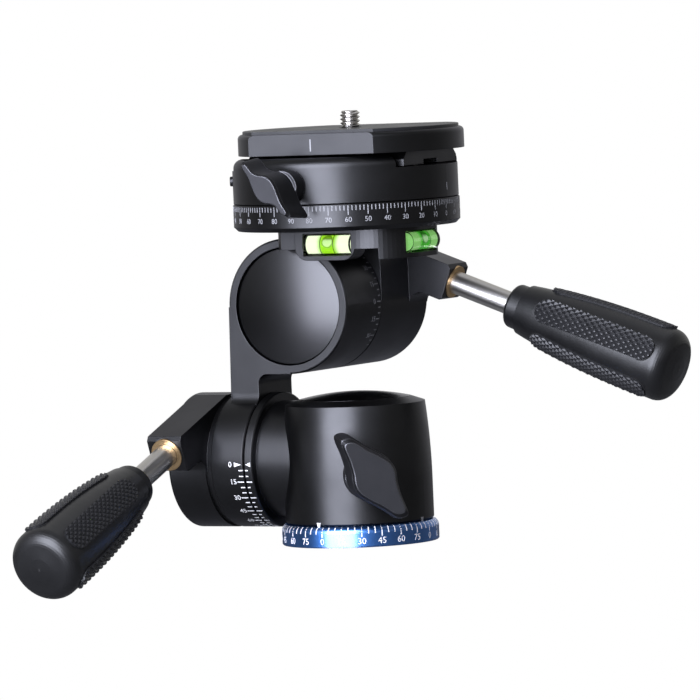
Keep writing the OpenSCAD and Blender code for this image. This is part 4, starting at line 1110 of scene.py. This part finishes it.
class HEAD_OT_camera_thread(Operator):
    """Cut the camera screw's thread"""

    bl_idname = "head.camera_thread"
    bl_label = "Cut the camera thread"

    def execute(self, context):
        sizes = context.scene.head_thread
        centre = middle("camera_screw")
        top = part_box("camera_screw")[1][2]
        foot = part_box("plate_pad")[1][2] + 0.08 * mm  # clear of the pad's face
        above = foot + 0.3 * mm  # where the screw has its full width
        screw = frame["nodes"]["camera_screw"].data
        radius = max((v.co.xy - centre.xy).length for v in screw.vertices if v.co.z > above)

        # The plain screw up to the pad's face, closed again.
        work = bmesh.new()
        work.from_mesh(screw)
        bmesh.ops.bisect_plane(
            work, geom=[*work.verts, *work.edges, *work.faces], dist=PLANE,
            plane_co=(0, 0, foot), plane_no=(0, 0, 1), clear_outer=True,
        )
        bmesh.ops.holes_fill(work, edges=[e for e in work.edges if e.is_boundary], sides=0)

        # Rings of corners above it, drawn in where the thread's groove runs past them.
        around, rows_per_turn = 72, 18
        crest, flanks = 0.12, 0.8  # shares of the pitch
        neck_slope = 1.6
        rows = math.ceil((top - foot) / (sizes.pitch / rows_per_turn))
        rings = []
        for row in range(rows + 1):
            height = foot + (top - foot) * row / rows
            chamfer = radius - sizes.tip + (top - height)
            neck = sizes.neck + neck_slope * (height - foot)
            ring = []
            for k in range(around):
                turn = math.tau * k / around
                phase = (height / sizes.pitch - k / around) % 1
                groove = min(1.0, max(0.0, (abs(2 * phase - 1) - crest) / flanks))
                away = min(radius - sizes.depth * groove, chamfer, neck)
                x, y = centre.x + away * math.cos(turn), centre.y + away * math.sin(turn)
                ring.append(work.verts.new((x, y, height)))
            rings.append(ring)
        for lower, upper in zip(rings, rings[1:]):
            for k in range(around):
                after = (k + 1) % around
                face = work.faces.new((lower[k], lower[after], upper[after], upper[k]))
                face.smooth = True
        work.faces.new(rings[-1])
        work.faces.new(list(reversed(rings[0])))
        data = bpy.data.meshes.new("camera_screw_threaded")
        work.to_mesh(data)
        work.free()
        tint = context.scene.head_finish.steel
        # Rolled thread in stainless steel: bright crests over dark grooves.
        steel = turned_metal("stainless_steel_thread", tint, rough=0.24, line=(UP, centre))
        made = piece("camera_screw_threaded", data, "screw", steel)
        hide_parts("camera_screw")
        return {"FINISHED"}


class HEAD_OT_vial_rings(Operator):
    """Print the rings on the level vials"""

    bl_idname = "head.vial_rings"
    bl_label = "Print the vial rings"

    def execute(self, context):
        sizes = context.scene.head_vials
        # Screen-printing ink: dark, flat and a little glossier than paint.
        ink = filling_paint("ink_printed_dark_green", srgb("#304519"), rough=0.4)
        ink_thickness, around = 0.01 * mm, 48
        for vial, axis in (("front_vial", Vector((1, 0, 0))), ("side_vial", Vector((0, 1, 0)))):
            centre = middle(vial)
            radius = (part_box(vial)[1][2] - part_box(vial)[0][2]) / 2
            level = UP.cross(axis)

            def on_vial(turn, along, out):
                """Places round a vial: an angle from its top, a distance along it and a rise."""
                spoke = UP * math.cos(turn) + level * math.sin(turn)
                return centre + axis * along + spoke * (radius + out)

            rings = Engraving(on_vial, radius, ink_thickness)
            for place in (-sizes.apart / 2, sizes.apart / 2):
                for k in range(around):
                    a, b = math.tau * k / around, math.tau * (k + 1) / around
                    low, high = place - sizes.ring / 2, place + sizes.ring / 2
                    rings.slab([(a, low), (b, low), (b, high), (a, high)])
            piece(vial + "_rings", rings.mesh(vial + "_rings"), "tilt_head", ink)
        return {"FINISHED"}


class HEAD_OT_studio(Operator):
    """Build the floor, the lights and the camera"""

    bl_idname = "head.studio"
    bl_label = "Set the studio"

    def softbox(self, name, azimuth, height, distance, size, power, target=(0, 0, 0.06)):
        """An area light at an azimuth in degrees, a height and a distance from the pan's axis.

        It faces the head unless it gets another target. Its flash tubes are a little blue.
        """
        data = bpy.data.lights.new(name, "AREA")
        data.color = srgb("#ebefff")
        data.shape = "RECTANGLE"
        data.size, data.size_y = size
        data.energy = power
        made = bpy.data.objects.new(name, data)
        turn = math.radians(azimuth)
        made.location = (distance * math.sin(turn), -distance * math.cos(turn), height)
        made.rotation_mode = "QUATERNION"
        made.rotation_quaternion = (Vector(target) - made.location).to_track_quat("-Z", "Y")
        made.visible_camera = False
        bpy.context.scene.collection.objects.link(made)
        return made

    def light_room(self, scene, dim):
        """White to the camera and through the vials, and a dim room to everything else.

        Polished faces mirror some of the white too, from the side that lies behind the head.
        """
        world = bpy.data.worlds.new("studio")
        scene.world = world
        world.use_nodes = True
        tree = world.node_tree
        tree.nodes.clear()
        rays = add(tree, "ShaderNodeLightPath").outputs
        seen = add(
            tree, "ShaderNodeMath", {0: rays["Is Camera Ray"], 1: rays["Is Transmission Ray"]},
            operation="MAXIMUM",
        ).outputs[0]
        heading = add(tree, "ShaderNodeTexCoord").outputs["Generated"]
        beyond_head = (-0.5, 0.87, 0.0)
        behind = add(
            tree, "ShaderNodeVectorMath", {0: heading, 1: beyond_head}, operation="DOT_PRODUCT"
        ).outputs["Value"]
        backdrop = add(tree, "ShaderNodeMapRange", {
            "Value": behind, "From Min": 0.1, "From Max": 0.9, "To Min": 0.0, "To Max": 0.6,
        }).outputs["Result"]
        mirrored = add(
            tree, "ShaderNodeMath", {0: rays["Is Glossy Ray"], 1: backdrop}, operation="MULTIPLY"
        ).outputs[0]
        share = add(
            tree, "ShaderNodeMath", {0: seen, 1: mirrored}, operation="MAXIMUM"
        ).outputs[0]
        strength = add(tree, "ShaderNodeMapRange", {
            "Value": share, "To Min": dim, "To Max": 1.0,
        }).outputs["Result"]
        sky = add(tree, "ShaderNodeBackground", {"Color": WHITE, "Strength": strength})
        output = add(tree, "ShaderNodeOutputWorld")
        tree.links.new(sky.outputs["Background"], output.inputs["Surface"])

    def lay_floor(self, scene):
        """A floor of paper, white to the camera and a quiet grey to the head above it."""
        half, height = 6, -0.3
        corners = ((-half, -half), (half, -half), (half, half), (-half, half))
        points = [(x, y, height) for x, y in corners]
        data = mesh_from("floor", points, [(0, 1, 2, 3)])
        floor = bpy.data.objects.new("floor", data)
        scene.collection.objects.link(floor)
        made, tree, surface = material("paper_white")
        surface.inputs["Base Color"].default_value = rgba(srgb("#696969"))
        surface.inputs["Roughness"].default_value = 0.9
        rays = add(tree, "ShaderNodeLightPath").outputs
        lit = add(tree, "ShaderNodeEmission", {"Color": WHITE, "Strength": 1.0})
        blend = add(tree, "ShaderNodeMixShader", {
            "Fac": rays["Is Camera Ray"], 1: surface.outputs["BSDF"], 2: lit.outputs["Emission"],
        })
        output = next(n for n in tree.nodes if n.type == "OUTPUT_MATERIAL")
        tree.links.new(blend.outputs["Shader"], output.inputs["Surface"])
        data.materials.append(made)

    def execute(self, context):
        studio = context.scene.head_studio
        scene = context.scene
        scene.view_settings.view_transform = "Standard"
        self.light_room(scene, studio.surround)
        self.lay_floor(scene)

        # A large softbox in front, and weak lights from the right, the back and above. The light
        # on the backdrop's foot brightens what faces it and is never mirrored itself. Each has its
        # azimuth, height, distance and size here, then its share of the power.
        power = studio.softbox
        backdrop_foot = (-0.6, 1.6, -0.3)
        self.softbox("key_softbox", -0.5, 0.51, 1.5, (1.43, 1.6), power)
        self.softbox("right_fill", 55, 0.75, 1.7, (0.7, 0.9), power * 0.02)
        backdrop_light = self.softbox(
            "backdrop_light", 200, 0.7, 1.7, (1.2, 1.2), power * 0.25, backdrop_foot
        )
        backdrop_light.visible_glossy = False
        self.softbox("top_softbox", 150, 1.4, 0.5, (0.9, 0.9), power * 0.01)

        camera_data = bpy.data.cameras.new("camera")
        camera_data.sensor_width = SENSOR_WIDTH
        camera_data.lens = studio.lens
        camera_data.clip_start, camera_data.clip_end = 0.1, 50.0
        camera = bpy.data.objects.new("camera", camera_data)
        forward, aside = math.cos(studio.azimuth), math.sin(studio.azimuth)
        camera.location = (studio.distance * aside, -studio.distance * forward, studio.height)
        level = (Vector(studio.aim) - camera.location).to_track_quat("-Z", "Y")
        camera.rotation_mode = "QUATERNION"
        camera.rotation_quaternion = level @ Matrix.Rotation(-studio.roll, 3, "Z").to_quaternion()
        scene.collection.objects.link(camera)
        scene.camera = camera
        return {"FINISHED"}


class HEAD_PT_panel(Panel):
    """The head's settings and its operators"""

    bl_idname = "HEAD_PT_panel"
    bl_label = "Tripod Head"
    bl_space_type = "VIEW_3D"
    bl_region_type = "UI"
    bl_category = "Tripod Head"

    def draw(self, context):
        for name, group in SETTINGS.items():
            box = self.layout.box()
            box.label(text=group.__doc__)
            for key in group.__annotations__:
                box.prop(getattr(context.scene, name), key)
        for operator in OPERATORS:
            self.layout.operator(operator.bl_idname)


OPERATORS = (
    HEAD_OT_finish,
    HEAD_OT_base_scale,
    HEAD_OT_tilt_scales,
    HEAD_OT_top_scale,
    HEAD_OT_grip_pads,
    HEAD_OT_camera_thread,
    HEAD_OT_vial_rings,
    HEAD_OT_studio,
)
CLASSES = (*SETTINGS.values(), *OPERATORS, HEAD_PT_panel)


def register():
    for made in CLASSES:
        bpy.utils.register_class(made)
    for name, group in SETTINGS.items():
        setattr(bpy.types.Scene, name, PointerProperty(type=group))


def unregister():
    for name in SETTINGS:
        delattr(bpy.types.Scene, name)
    for made in reversed(CLASSES):
        bpy.utils.unregister_class(made)


def main():
    """Dress the head and set its studio."""
    register()
    bpy.ops.head.finish()
    bpy.ops.head.base_scale()
    bpy.ops.head.tilt_scales()
    bpy.ops.head.top_scale()
    bpy.ops.head.grip_pads()
    bpy.ops.head.camera_thread()
    bpy.ops.head.vial_rings()
    bpy.ops.head.studio()


if __name__ == "__main__":
    main()
